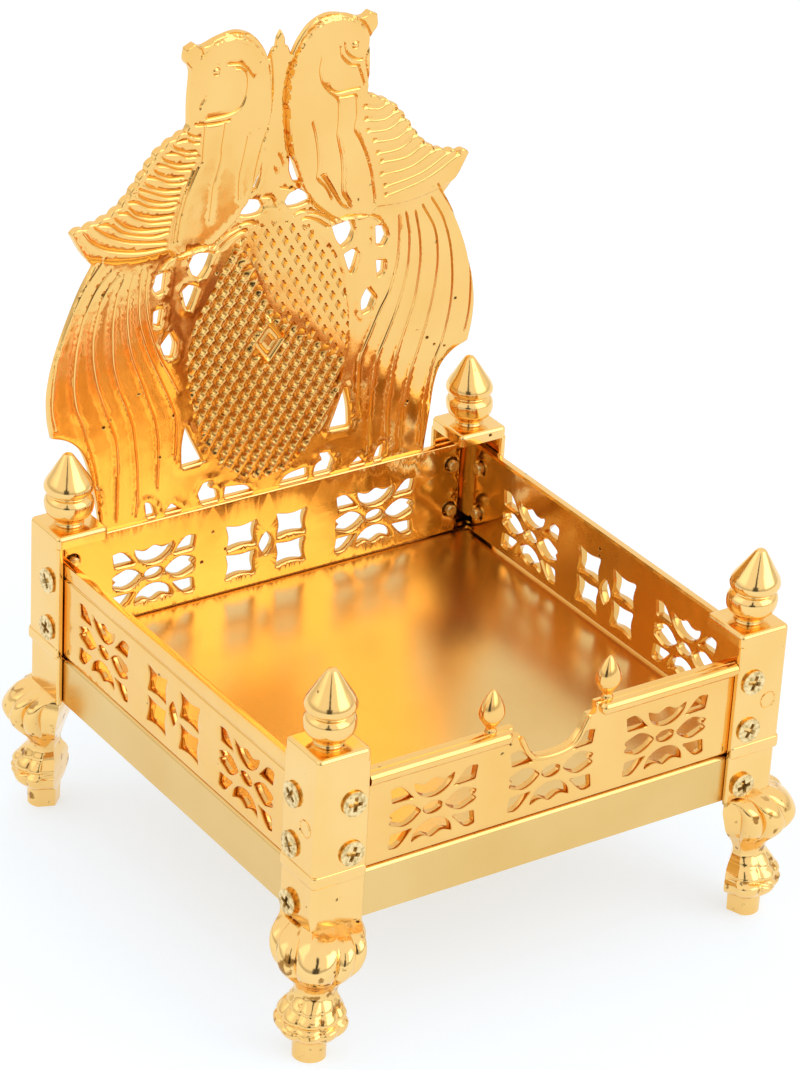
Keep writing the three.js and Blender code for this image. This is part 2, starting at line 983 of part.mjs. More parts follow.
function peacockBack() {
  const openings = Object.values(openingShares).flatMap((shares) => {
    const right = shares.map(framePoint);
    return [right, mirrored(right)];
  });
  const panelBack = panelFront + panelThickness;
  const plate = slab(shapeOf(panelOutline()), panelFront, panelBack);
  const bird = birdShares.map(framePoint);
  const raised = [
    medallionRim(),
    centreDiamond(),
    shapeOf(bird),
    shapeOf(mirrored(bird)),
  ].map((shape) => slab(shape, panelFront - panelRelief, panelFront + panelThickness / 2));
  const grooves = [...tailGrooves(), ...wingGrooves()]
    .flatMap((outline) => [outline, mirrored(outline)])
    .map((outline) => slab(shapeOf(outline), panelFront - overrun, panelFront + flutingDepth));
  const carved = cut(joined([plate, ...raised]), grooves);
  const panel = pierced(carved, openings, panelFront, panelBack);
  return geometryOf(panel.add(plainRail().rotate([0, 0, 180])));
}

// Seat tray: two crossed channels of sheet, which leave the four corners open

function trayChannel() {
  const steps = 3;
  const bendPoints = Array.from({ length: steps + 1 }, (_, i) => {
    const angle = (Math.PI / 2) * (i / steps);
    return point(
      trayHalfWidth - trayBend * (1 - Math.cos(angle)),
      trayTop - trayBend * (1 - Math.sin(angle)),
    );
  });
  const inside = trayHalfWidth - trayThickness;
  const half = [
    point(inside, trayTop - trayThickness),
    point(inside, trayBottom),
    point(trayHalfWidth, trayBottom),
    ...bendPoints,
  ];
  const reach = trayHalfWidth - trayCornerNotch;
  return slab(shapeOf([...half, ...mirrored(half)]), -reach, reach);
}

function seatTray() {
  const across = trayChannel();
  const along = trayChannel();
  along.rotateZ(Math.PI / 2);
  const fixings = [0, 1, 2, 3].map((quarter) => {
    const hole = screwCutter();
    const seat = placeOnSeat(new THREE.Object3D(), seatRows.find((row) => row.level === "tray"));
    hole.applyMatrix4(seat.matrix);
    hole.translate(-postAxis, -postAxis, 0);
    hole.rotateZ(quarter * (Math.PI / 2));
    return hole;
  });
  return geometryOf(cut(joined([across, along]), fixings));
}

// Assembly

function piece(name, geometry, finish) {
  const mesh = new THREE.Mesh(geometry, new THREE.MeshStandardMaterial(finish));
  mesh.name = name;
  return mesh;
}

const throne = new THREE.Group();

// Each corner is the same casting, turned a quarter, and its sides hold the rails named here
const corners = [
  { corner: "front_left", a: "left_rail", b: "front_rail" },
  { corner: "front_right", a: "front_rail", b: "right_rail" },
  { corner: "back_right", a: "right_rail", b: "back" },
  { corner: "back_left", a: "back", b: "left_rail" },
];

const postGeometry = cornerPost();
const screwShape = screwGeometry();

corners.forEach((names, quarter) => {
  const turn = new THREE.Group();
  turn.rotation.z = quarter * (Math.PI / 2);
  const stand = new THREE.Group();
  stand.position.set(-postAxis, -postAxis, 0);
  turn.add(stand);
  stand.add(piece(`post_${names.corner}`, postGeometry, gilt));
  for (const row of seatRows) {
    const held = row.level === "tray" ? "tray" : `${names[row.side]}_${row.level}`;
    stand.add(placeOnSeat(piece(`screw_${names.corner}_${held}`, screwShape, zinc), row));
  }
  throne.add(turn);
});

const sideRailGeometry = geometryOf(plainRail());
const leftRail = piece("left_rail", sideRailGeometry, gilt);
leftRail.rotation.z = -Math.PI / 2;
const rightRail = piece("right_rail", sideRailGeometry, gilt);
rightRail.rotation.z = Math.PI / 2;

throne.add(
  piece("front_rail", frontRail(), gilt),
  leftRail,
  rightRail,
  piece("peacock_back", peacockBack(), gilt),
  piece("seat_tray", seatTray(), satinBrass),
);

export default throne;
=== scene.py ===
# Deity simhasan throne: the looks of a small gilt cast throne for a household shrine.
# Metres, +Z up, front towards -Y. The castings, the folded tray and the screws are made here
# in full detail, in the places of the frame's pieces.

import math

import bmesh
import bpy
import numpy as np
from mathutils import Matrix, Vector
from mathutils.geometry import delaunay_2d_cdt


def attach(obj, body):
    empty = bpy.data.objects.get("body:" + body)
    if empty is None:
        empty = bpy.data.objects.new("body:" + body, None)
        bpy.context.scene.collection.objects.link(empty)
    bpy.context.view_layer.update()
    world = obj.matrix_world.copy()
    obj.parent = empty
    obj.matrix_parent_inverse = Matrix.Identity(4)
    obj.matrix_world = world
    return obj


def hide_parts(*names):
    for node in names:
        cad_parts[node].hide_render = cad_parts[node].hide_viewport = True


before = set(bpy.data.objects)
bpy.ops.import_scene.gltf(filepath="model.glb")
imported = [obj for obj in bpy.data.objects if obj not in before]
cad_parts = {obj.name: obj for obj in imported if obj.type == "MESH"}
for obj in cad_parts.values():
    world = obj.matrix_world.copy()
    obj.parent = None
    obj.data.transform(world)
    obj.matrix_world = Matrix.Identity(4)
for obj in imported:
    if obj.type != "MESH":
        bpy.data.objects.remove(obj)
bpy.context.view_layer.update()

MM = 0.001

# Sizes in millimetres, as the solids have them
SEAT_WIDTH = 102.0
POST_WIDTH = 11.0
POST_WALL = 1.5
POST_TOP = 62.1
POST_ROUNDING = 1.05
CAP_HEIGHT = 2.4
CAP_ROUNDING = 0.9
COLLAR_BOTTOM = 36.2
COLLAR_HEIGHT = 2.4
COLLAR_PROUD = 0.25
COLLAR_EASE = 0.25
BLOCK_INSET = 0.25
BLOCK_BOTTOM = 26.1
FINIAL_HEIGHT = 14.5
FINIAL_RADIUS = 4.75
LEG_REACH = 12.5
LEG_HALF_WIDTH = 8.9
LEG_TOP = 26.7
LEG_BACK_INSET = 1.4
FIT_GAP = 0.1
RAIL_THICKNESS = 1.9
RAIL_END_GAP = 2.0
RAIL_TOP = 56.4
RAIL_BOTTOM = 36.7
RAIL_CORNER = 1.5
RAIL_EDGE = 0.4
RAIL_GRID = 2.2
BACK_RAIL_DROP = 0.32
WINDOW_PITCH = 25.4
WINDOW_HALF_WIDTH = 9.4
WINDOW_HALF_HEIGHT = 6.2
WINDOW_MIDDLE = 44.8
GROOVE_HEIGHT = 53.3
DIP_HALF_WIDTH = 9.0
DIP_DEPTH = 7.8
DIP_RIM_RADIUS = 0.5
BEAD_RADIUS = 1.3
BEAD_PROUD = 0.35
BEAD_MIDDLE = 55.0
BUD_SPREAD = 12.65
BUD_SHIFT = -0.75
BUD_HEIGHT = 8.5
BUD_RADIUS = 2.5
SCREW_FROM_CORNER = 7.6
SCREW_HOLE_RADIUS = 1.45
SCREW_HEIGHTS = {"top": 51.9, "low": 41.8, "tray": 29.8}
TRAY_TOP = 36.2
TRAY_BOTTOM = 26.5
TRAY_THICKNESS = 0.8
TRAY_BEND = 1.1
TRAY_NOTCH = 1.6
FRAME_HALF_WIDTH = 49.06
FRAME_HEIGHT = 100.0
FRAME_FOOT = 53.8
PANEL_SETBACK = 0.9
PANEL_THICKNESS = 1.2
PANEL_EDGE = 0.4
PANEL_GRID = 0.75
PANEL_LEAN = 1.3
PANEL_SWAY = 1.0
MEDALLION_MIDDLE = (-0.95, 86.4)
MEDALLION_HALVES = (18.7, 28.0)
BIRDS_MIDDLE = -0.8

POST_AXIS = (SEAT_WIDTH - POST_WIDTH) / 2
RAIL_OUTER = SEAT_WIDTH / 2 - POST_WALL - FIT_GAP
RAIL_INNER = RAIL_OUTER - RAIL_THICKNESS
RAIL_HALF_LENGTH = RAIL_INNER - RAIL_END_GAP
PANEL_FRONT = RAIL_INNER + PANEL_SETBACK
PANEL_BACK = PANEL_FRONT + PANEL_THICKNESS
SCREW_ACROSS = SEAT_WIDTH / 2 - SCREW_FROM_CORNER


# Camera at the photograph's angle

CAMERA_PLACE = (-378.585, -541.421, 420.462)
CAMERA_RIGHT = (0.8343391, -0.5490023, 0.0497466)
CAMERA_DOWN = (-0.2217267, -0.4168433, -0.8815208)
CAMERA_AHEAD = (0.5046935, 0.7244571, -0.4695172)
CAMERA_LENS = 136.39


def shown(name, data):
    """A new object in the scene."""
    item = bpy.data.objects.new(name, data)
    bpy.context.scene.collection.objects.link(item)
    return item


def place_camera():
    data = bpy.data.cameras.new("photo_camera")
    data.lens = CAMERA_LENS
    data.clip_start = 0.01
    data.clip_end = 20
    camera = shown("photo_camera", data)
    axes = Matrix((CAMERA_RIGHT, [-x for x in CAMERA_DOWN], [-x for x in CAMERA_AHEAD]))
    camera.matrix_world = Matrix.Translation(Vector(CAMERA_PLACE) * MM) @ axes.transposed().to_4x4()
    bpy.context.scene.camera = camera


# Materials

# Sockets of a mix node that hold its share, its two colours and the mixed colour
SHARE, LOW, HIGH, MIXED = 0, 6, 7, 2


def linear(hex_colour):
    """An sRGB hex value as a linear colour."""
    parts = [int(hex_colour[i : i + 2], 16) / 255 for i in (1, 3, 5)]
    return [p / 12.92 if p <= 0.04045 else ((p + 0.055) / 1.055) ** 2.4 for p in parts] + [1]


def cells(size):
    """Scale of a pattern whose cells have a size in millimetres."""
    return 1 / (size * MM)


def node(tree, kind, inputs=None, out=0, stops=(), **settings):
    """Adds a node and gives one of its outputs; a kind without a family is a shader's node.

    An input takes a value, or the output of another node, which is linked to it. The stops of
    a ramp are places with a colour or a grey."""
    made = tree.nodes.new(kind if "Node" in kind else f"ShaderNode{kind}")
    for key, value in settings.items():
        setattr(made, key, value)
    for key, value in (inputs or {}).items():
        if isinstance(value, bpy.types.NodeSocket):
            tree.links.new(value, made.inputs[key])
        else:
            made.inputs[key].default_value = value
    for element, (at, colour) in zip(made.color_ramp.elements if stops else (), stops):
        element.position = at
        element.color = colour if isinstance(colour, list) else [colour] * 3 + [1]
    return made.outputs[out] if made.outputs else None


def new_material(name):
    """A new material, its empty tree, and the place that its patterns are drawn by."""
    material = bpy.data.materials.new(name)
    material.use_nodes = True
    tree = material.node_tree
    tree.nodes.clear()
    return material, tree, node(tree, "TexCoord", out="Object")


def gilt_casting(name, deep, light, worn_below=None):
    """Bright gold plate on a die casting: a mirror that rolls softly, with sparse casting pits."""
    material, tree, place = new_material(name)
    soft = {"interpolation_type": "SMOOTHSTEP"}
    cloud = node(tree, "TexNoise", {"Vector": place, "Scale": cells(16.667), "Detail": 3})
    tint = node(
        tree, "ValToRGB", {"Fac": cloud}, stops=[(0.3, linear(deep)), (0.7, linear(light))]
    )
    gloss = node(tree, "ValToRGB", {"Fac": cloud}, stops=[(0.3, 0.16), (0.7, 0.1)])
    # Pits of a tenth to a third of a millimetre, one in every few millimetres
    speck = node(tree, "TexVoronoi", {"Vector": place, "Scale": cells(3.0303)})
    near = node(tree, "MapRange", {"Value": speck, "From Min": 0.08, "From Max": 0.16}, **soft)
    patch = node(tree, "TexNoise", {"Vector": place, "Scale": cells(4.7619), "Detail": 1})
    rare = node(tree, "MapRange", {
        "Value": patch, "From Min": 0.6, "From Max": 0.64, "To Min": 1, "To Max": 0
    }, **soft)
    clear = node(tree, "Math", {0: near, 1: rare}, operation="MAXIMUM")
    # Skin of the casting: swells of about 6 mm, a fine ripple of about 1 mm, and the pits
    swell = node(tree, "TexNoise", {"Vector": place, "Scale": cells(6.25), "Detail": 1})
    ripple = node(tree, "TexNoise", {"Vector": place, "Scale": cells(1.1111)})
    skin = node(tree, "Bump", {"Height": swell, "Distance": 0.12 * MM})
    skin = node(tree, "Bump", {"Height": ripple, "Normal": skin, "Distance": 0.01 * MM})
    skin = node(tree, "Bump", {"Height": clear, "Normal": skin, "Distance": 0.1 * MM})
    # Painted shade: where a mesh marks it, the colour darkens towards #C4893E, on the walls of
    # openings and the floors of pits
    painted_shade = node(tree, "Attribute", out="Fac", attribute_name="painted_shade")
    layers = [(painted_shade, None, linear("#C4893E")), (clear, linear("#5A3C16"), None)]
    if worn_below:
        # Brown blotches of 1 to 3 mm where the plate is thin, low on the casting
        low = node(tree, "MapRange", {
            "Value": node(tree, "SeparateXYZ", {0: place}, "Z"), "To Min": 1, "To Max": 0,
            "From Min": (worn_below - 3) * MM, "From Max": worn_below * MM,
        })
        thin = node(tree, "TexNoise", {"Vector": place, "Scale": cells(3), "Detail": 3})
        blotch = node(tree, "MapRange", {
            "Value": thin, "From Min": 0.61, "From Max": 0.68, "To Max": 0.85
        }, **soft)
        worn = node(tree, "Math", {0: low, 1: blotch}, operation="MULTIPLY")
        layers.append((worn, None, linear("#9A6420")))
    # Each layer lies over or under the colour so far, by its share
    for share, under, over in layers:
        inputs = {SHARE: share, LOW: under or tint, HIGH: over or tint}
        tint = node(tree, "Mix", inputs, MIXED, data_type="RGBA")
    shader = node(tree, "BsdfPrincipled", {
        "Base Color": tint, "Roughness": gloss, "Normal": skin, "Metallic": 1
    })
    node(tree, "OutputMaterial", {"Surface": shader})
    return material


def grained_metal(name, cloud, tints, grain, glosses, depth, painted_shade=None):
    """A metal with a cloudy tint, and a grain that changes its gloss and stands out by a depth.

    Cloud and grain are the size of their cells in millimetres and their detail."""
    material, tree, place = new_material(name)
    cloud, grain = (
        node(tree, "TexNoise", {"Vector": place, "Scale": cells(size), "Detail": detail})
        for size, detail in (cloud, grain)
    )
    tint = node(
        tree, "ValToRGB", {"Fac": cloud}, stops=[(at, linear(colour)) for at, colour in tints]
    )
    # Painted shade: where the mesh marks it, the tint gives way to the given dark colour
    if painted_shade:
        share = node(tree, "Attribute", out="Fac", attribute_name="painted_shade")
        inputs = {SHARE: share, LOW: tint, HIGH: linear(painted_shade)}
        tint = node(tree, "Mix", inputs, MIXED, data_type="RGBA")
    gloss = node(tree, "ValToRGB", {"Fac": grain}, stops=glosses)
    skin = node(tree, "Bump", {"Height": grain, "Distance": depth * MM})
    shader = node(tree, "BsdfPrincipled", {
        "Base Color": tint, "Roughness": gloss, "Normal": skin, "Metallic": 1
    })
    node(tree, "OutputMaterial", {"Surface": shader})
    return material


GILT = gilt_casting("gilt_casting", "#F6C26E", "#FACB7C")
# The posts get a paler copy of the gilt, and brown in places on their legs
GILT_PALE = gilt_casting("gilt_casting_pale", "#F9CA7A", "#FCD288", worn_below=28.0)
# Lacquered brass-coloured sheet, rolled smooth: it mirrors what stands on it as a soft blur
SATIN = grained_metal(
    "satin_brass_sheet", (28.571, 3), [(0.3, "#E3B96F"), (0.7, "#EBC681")],
    (0.41667, 2), [(0.3, 0.2), (0.7, 0.27)], 0.002,
)
# Zinc plate on steel: a dull yellow grey with a crystalline mottle, and painted shade in its
# recesses
ZINC = grained_metal(
    "zinc_plated_steel", (0.71429, 3), [(0.3, "#BFA064"), (0.6, "#FBDFA4")],
    (0.71429, 3), [(0.3, 0.45), (0.7, 0.28)], 0.04, "#3A2C12",
)


# Meshes

# A distance in millimetres that stands for far away
FAR = 3e4
# Cells in millimetres that hold one point of a relief's rows each, and that keep its grid off them
POINT_CELL = 0.11
GRID_CELL = 0.3


def quarter_turn(turns):
    return Matrix.Rotation(turns * math.pi / 2, 4, "Z")


def result_of(item, *helpers):
    """The mesh of an object after its modifiers; the object and its helpers are taken away."""
    ready = item.evaluated_get(bpy.context.evaluated_depsgraph_get())
    mesh = bpy.data.meshes.new_from_object(ready)
    for used in (item, *helpers):
        bpy.data.objects.remove(used)
    return mesh


def combined(mesh, others, operation):
    """A solid joined with others or cut by them."""
    holder = shown("solid", mesh)
    helpers = [shown("helper", other) for other in others]
    for helper in helpers:
        step = holder.modifiers.new("step", "BOOLEAN")
        step.operation = operation
        step.object = helper
    return result_of(holder, *helpers)


def edited(mesh, action):
    """A mesh after an action on its editable form."""
    bm = bmesh.new()
    bm.from_mesh(mesh)
    action(bm)
    bm.to_mesh(mesh)
    bm.free()
    return mesh


def finish_piece(name, mesh, material, nodes, sharp_angle=40):
    """Makes a mesh one of the throne's pieces, smooth but for its sharp edges."""

    def smooth(bm):
        for edge in bm.edges:
            flat = edge.calc_face_angle(0) < math.radians(sharp_angle)
            edge.smooth = len(edge.link_faces) == 2 and flat
        for face in bm.faces:
            face.smooth = True

    edited(mesh, smooth)
    mesh.materials.clear()
    mesh.materials.append(material)
    draft = shown("draft", mesh)
    draft.modifiers.new("even", "WEIGHTED_NORMAL").keep_sharp = True
    piece = shown(name, result_of(draft))
    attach(piece, "root")
    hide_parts(*nodes)


def mesh_from(verts, faces):
    """A mesh in metres from points in millimetres."""
    mesh = bpy.data.meshes.new("part")
    mesh.from_pydata([tuple(c * MM for c in v) for v in verts], [], faces)
    return mesh


def sleeve(rings):
    """A form through rings of as many points each, closed at both ends."""
    count = len(rings[0])
    last = (len(rings) - 1) * count
    faces = []
    for start in range(0, last, count):
        for i in range(count):
            a, b = start + i, start + (i + 1) % count
            faces.append((a, b, b + count, a + count))
    faces += [tuple(reversed(range(count))), tuple(range(last, last + count))]
    return mesh_from([point for ring in rings for point in ring], faces)


def joined(meshes):
    bm = bmesh.new()
    for mesh in meshes:
        bm.from_mesh(mesh)
    result = bpy.data.meshes.new("joined")
    bm.to_mesh(result)
    bm.free()
    return result


def moved(mesh, matrix):
    copy = mesh.copy()
    copy.transform(matrix)
    return copy


def shifted(mesh, x, y, z):
    """Moves a mesh by millimetres."""
    mesh.transform(Matrix.Translation(Vector((x, y, z)) * MM))
    return mesh


def points_of(mesh):
    """Places of a mesh's vertices in millimetres."""
    return np.array([vertex.co for vertex in mesh.vertices]) / MM


def circle(count):
    turns = np.linspace(0, 2 * math.pi, count, False)
    return np.stack([np.cos(turns), np.sin(turns)], 1)


def lathe(profile, steps=40, flatten=1.0):
    """A turned form on the Z axis from points of radius and height."""
    turns = [2 * math.pi * i / steps for i in range(steps)]
    return sleeve([
        [(radius * math.cos(a), radius * math.sin(a) * flatten, height) for a in turns]
        for radius, height in profile
    ])


def curve(p0, p1, p2, p3, steps):
    """Points of a smooth curve from p1 up to p2, between the neighbours p0 and p3."""
    return [
        0.5 * (2 * p1 + (p2 - p0) * t + (2 * p0 - 5 * p1 + 4 * p2 - p3) * t**2
               + (3 * p1 - p0 - 3 * p2 + p3) * t**3)
        for t in (k / steps for k in range(steps))
    ]


def spline_rows(rows, steps):
    """Smooth rows of numbers between the given ones."""
    rows = np.array(rows, float)
    last = len(rows) - 1
    out = []
    for i in range(last):
        out += curve(rows[max(i - 1, 0)], rows[i], rows[i + 1], rows[min(i + 2, last)], steps)
    return np.array([*out, rows[-1]])


def flow(points, step, closed=True, corner=48):
    """Points along a smooth line through the given ones, which keeps corners sharp.

    A corner is a point where the line turns by more than an angle, or its end."""
    pts = np.array(points, float)
    count = len(pts)
    sharp = []
    for i in range(count):
        a, b = pts[i] - pts[i - 1], pts[(i + 1) % count] - pts[i]
        turn = math.degrees(abs(math.atan2(a[0] * b[1] - a[1] * b[0], a @ b)))
        sharp.append(turn > corner or not closed and i in (0, count - 1))
    out = []
    for i in range(count if closed else count - 1):
        p1, p2 = pts[i], pts[(i + 1) % count]
        p0 = 2 * p1 - p2 if sharp[i] else pts[i - 1]
        p3 = 2 * p2 - p1 if sharp[(i + 1) % count] else pts[(i + 2) % count]
        out += curve(p0, p1, p2, p3, max(1, math.ceil(np.linalg.norm(p2 - p1) / step)))
    return np.array(out if closed else [*out, pts[-1]])


def pairs(row):
    """Points from a row of numbers that holds their two places in turn."""
    return np.reshape(row, (-1, 2))


def mirror(points):
    return [(-x, z) for x, z in reversed(points)]


def inside(points, loops):
    """Which points lie in the material between the loops."""
    x, y = points.T
    hit = np.zeros(len(points), bool)
    for loop in loops:
        for (ax, ay), (bx, by) in zip(loop, np.roll(loop, -1, 0)):
            if ay != by:
                hit ^= ((ay > y) != (by > y)) & (x < (bx - ax) * (y - ay) / (by - ay) + ax)
    return hit


def distance(points, line, closed=False, reach=3):
    """Distance from each point to a line of points, exact where it is within reach."""
    near = ((points >= line.min(0) - reach) & (points <= line.max(0) + reach)).all(1)
    some = points[near]
    close = np.full(len(some), FAR**2)
    for a, b in zip(line, np.roll(line, -1, 0) if closed else line[1:]):
        way = b - a
        if way.any():
            t = np.clip(((some - a) @ way) / (way @ way), 0, 1)
            close = np.minimum(close, ((some - (a + t[:, None] * way)) ** 2).sum(1))
    found = np.full(len(points), FAR)
    found[near] = np.sqrt(close)
    return found


def gap_to(points, loops):
    """Distance from each point to the nearest of some closed lines."""
    return np.min([distance(points, loop, True) for loop in loops], axis=0)


def offset(line, amount, closed=True):
    """A line moved to its left by an amount."""
    before = np.roll(line, 1, 0) if closed else np.vstack([line[:1], line[:-1]])
    after = np.roll(line, -1, 0) if closed else np.vstack([line[1:], line[-1:]])
    along = after - before
    along /= np.maximum(np.linalg.norm(along, axis=1), 1e-9)[:, None]
    return line + amount * np.stack([-along[:, 1], along[:, 0]], 1)


def headings(line):
    """Unit vectors along a line at its points."""
    along = np.gradient(line, axis=0)
    return along / np.linalg.norm(along, axis=1)[:, None]


def hex_grid(low, high, step):
    rows = []
    for k, z in enumerate(np.arange(low[1], high[1], step * math.sqrt(3) / 2)):
        xs = np.arange(low[0] + (k % 2) * step / 2, high[0], step)
        rows.append(np.stack([xs, np.full(len(xs), z)], 1))
    return np.vstack(rows)


def fine_cells(points, size):
    return np.round(points / size).astype(int)


def thinned(points, size):
    """Leaves one point, the first, in each cell of a fine grid."""
    _, first = np.unique(fine_cells(points, size), axis=0, return_index=True)
    return points[np.sort(first)]


def triangulated(points, edges, loops):
    verts, _, faces, *_ = delaunay_2d_cdt([Vector(p) for p in points], edges, [], 0, 1e-5)
    verts = np.array([tuple(v) for v in verts])
    faces = np.array([f for f in faces if len(f) == 3])
    faces = faces[inside(verts[faces].mean(1), loops)]
    a, b, c = verts[faces[:, 0]], verts[faces[:, 1]], verts[faces[:, 2]]
    area = (b[:, 0] - a[:, 0]) * (c[:, 1] - a[:, 1]) - (b[:, 1] - a[:, 1]) * (c[:, 0] - a[:, 0])
    faces[area < 0] = faces[area < 0][:, ::-1]
    return verts, faces[np.abs(area) > 1e-9]


def loop_edges(loops):
    edges, start = [], 0
    for loop in loops:
        count = len(loop)
        edges += [(start + i, start + (i + 1) % count) for i in range(count)]
        start += count
    return edges


def fall(gap, radius):
    """How far a rounded edge lies below the face at a gap from the outline."""
    inner = np.clip(radius - gap, 0, radius)
    return radius - np.sqrt(np.maximum(radius**2 - inner**2, 0))


def relief(loops, front, back, edge, grid, height=None, rows=(), back_edge=0.0):
    """A plate in X and Z between two depths in Y, with rounded edges and a carved front.

    The first loop is its outline and the others are its openings. The height of the carving
    stands out of the front, towards -Y, and the rows give points where it turns. Points of the
    grid fill what the rows leave empty."""
    edges = loop_edges(loops)
    base = np.vstack(loops)
    shoulders = [
        offset(loop, side * share * edge)
        for loop in loops for share in (0.3, 1) for side in (1, -1)
    ]
    free = thinned(np.vstack([*shoulders, *rows]), POINT_CELL)
    taken = {tuple(cell) for cell in fine_cells(free, GRID_CELL)}
    clear = [
        not any((x + i, z + j) in taken for i in (-1, 0, 1) for j in (-1, 0, 1))
        for x, z in fine_cells(grid, GRID_CELL)
    ]
    free = np.vstack([free, grid[np.array(clear)]])
    free = free[inside(free, loops) & (gap_to(free, loops) > edge * 0.22)]
    verts, faces = triangulated(np.vstack([base, free]), edges, loops)
    gap = gap_to(verts, loops)
    rise = height(verts, gap) if height else np.zeros(len(verts))
    top = [(x, front + f - r, z) for (x, z), f, r in zip(verts, fall(gap, edge), rise)]

    ring = np.empty((0, 2))
    if back_edge:
        ring = np.vstack([offset(loop, side * back_edge) for loop in loops for side in (1, -1)])
        ring = ring[inside(ring, loops) & (gap_to(ring, loops) > back_edge * 0.8)]
    under, under_faces = triangulated(np.vstack([base, ring]), edges, loops)
    drops = fall(gap_to(under, loops), back_edge)
    bottom = [(x, back - f, z) for (x, z), f in zip(under, drops)]

    def key(point):
        return round(point[0], 4), round(point[1], 4)

    shift = len(top)
    below = {key(point): shift + i for i, point in enumerate(under)}
    sides = {side for a, b, c in faces.tolist() for side in ((a, b), (b, c), (c, a))}
    walls = []
    for a, b in sides:
        ends = [below.get(key(verts[i])) for i in (a, b)]
        if (b, a) not in sides and None not in ends:
            walls.append((b, a, *ends))
    lower = [(shift + c, shift + b, shift + a) for a, b, c in under_faces.tolist()]
    return mesh_from(top + bottom, faces.tolist() + lower + walls)


# Corner posts

# Radius and height of the finial, in shares of its own
FINIAL_SHARES = [
    (0.6, 0), (0.56, 0.03), (0.57, 0.06), (0.66, 0.09), (0.82, 0.125), (0.93, 0.17),
    (0.985, 0.225), (1, 0.28), (0.985, 0.335), (0.9, 0.385), (0.78, 0.42), (0.83, 0.442),
    (0.94, 0.465), (0.99, 0.5), (0.995, 0.54), (0.93, 0.6), (0.83, 0.655), (0.66, 0.74),
    (0.49, 0.83), (0.33, 0.91), (0.2, 0.97), (0.1, 0.99), (0.02, 1),
]
# Each row of the leg: height, then reach, width, middle and back, depth of the flutes, shift
# aside, and how square it is
LEG_SHARES = [
    [0, 0.61, 0.35, 0.37, 0.13, 0, 0, 0],
    [0.155, 0.62, 0.365, 0.37, 0.12, 0, 0, 0],
    [0.165, 0.66, 0.45, 0.34, 0.1, 0.02, 0, 0],
    [0.195, 0.76, 0.62, 0.3, 0.09, 0.09, 0, 0],
    [0.24, 0.85, 0.75, 0.26, 0.08, 0.12, 0, 0],
    [0.29, 0.88, 0.78, 0.25, 0.08, 0.12, 0, 0],
    [0.32, 0.82, 0.7, 0.25, 0.08, 0.05, 0.01, 0],
    [0.355, 0.85, 0.73, 0.25, 0.08, 0.1, 0.01, 0],
    [0.41, 0.77, 0.63, 0.25, 0.09, 0.1, 0.025, 0],
    [0.465, 0.67, 0.51, 0.26, 0.12, 0.05, 0.045, 0],
    [0.51, 0.61, 0.45, 0.27, 0.14, 0.01, 0.05, 0],
    [0.565, 0.62, 0.49, 0.26, 0.12, 0.02, 0.055, 0],
    [0.62, 0.7, 0.6, 0.25, 0.09, 0.08, 0.065, 0],
    [0.68, 0.84, 0.77, 0.24, 0.05, 0.16, 0.075, 0],
    [0.74, 0.95, 0.9, 0.24, 0.02, 0.19, 0.08, 0],
    [0.8, 1, 0.97, 0.24, 0, 0.21, 0.08, 0],
    [0.85, 0.98, 1, 0.24, -0.02, 0.21, 0.08, 0],
    [0.9, 0.92, 1, 0.23, -0.04, 0.21, 0.075, 0],
    [0.94, 0.85, 0.98, 0.2, -0.04, 0.2, 0.065, 0.05],
    [0.975, 0.77, 0.95, 0.14, -0.04, 0.18, 0.05, 0.35],
    [1, 0.68, 0.9, 0.06, -0.04, 0.12, 0.03, 0.75],
    [1.02, 0.58, 0.8, 0, -0.04, 0.05, 0.01, 1],
]
# Valleys between the cushions round the knee and between the toes, in degrees
KNEE_VALLEYS = [-90, -58, -22, 38, 64, 90]
PAW_VALLEYS = [-90, -50, -12, 27, 62, 90]
KNEE_FOOT = 0.5
# Lines across the knuckles and round the ankle: height, rise at the sides, depth, width
PAW_LINES = [(0.272, 0.07, 0.075, 0.011), (0.405, 0.03, 0.05, 0.012)]
# Ring that the mould's ejector pin left on the face with three screws, and where it lies
EJECTOR_RING = [
    (1.8, -0.3), (1.8, 0.02), (1.7, 0.2), (1.56, 0.2), (1.42, 0.0), (1.3, 0.01), (0.2, 0.02),
]
EJECTOR_PLACE = (-POST_WIDTH / 2, -2, 47)

CORNERS = ["front_left", "front_right", "back_right", "back_left"]
FINIAL_LEANS = [(0, 0), (1.0, -0.5), (-0.6, 0.4), (-0.3, 0.2)]


def cushion(angle, valleys):
    """How far up the cushion between two valleys an angle lies, from 0 to 1."""
    for a, b in zip(valleys, valleys[1:]):
        if a <= angle <= b:
            return math.sin(math.pi * (angle - a) / (b - a)) ** 0.45
    return 0.0


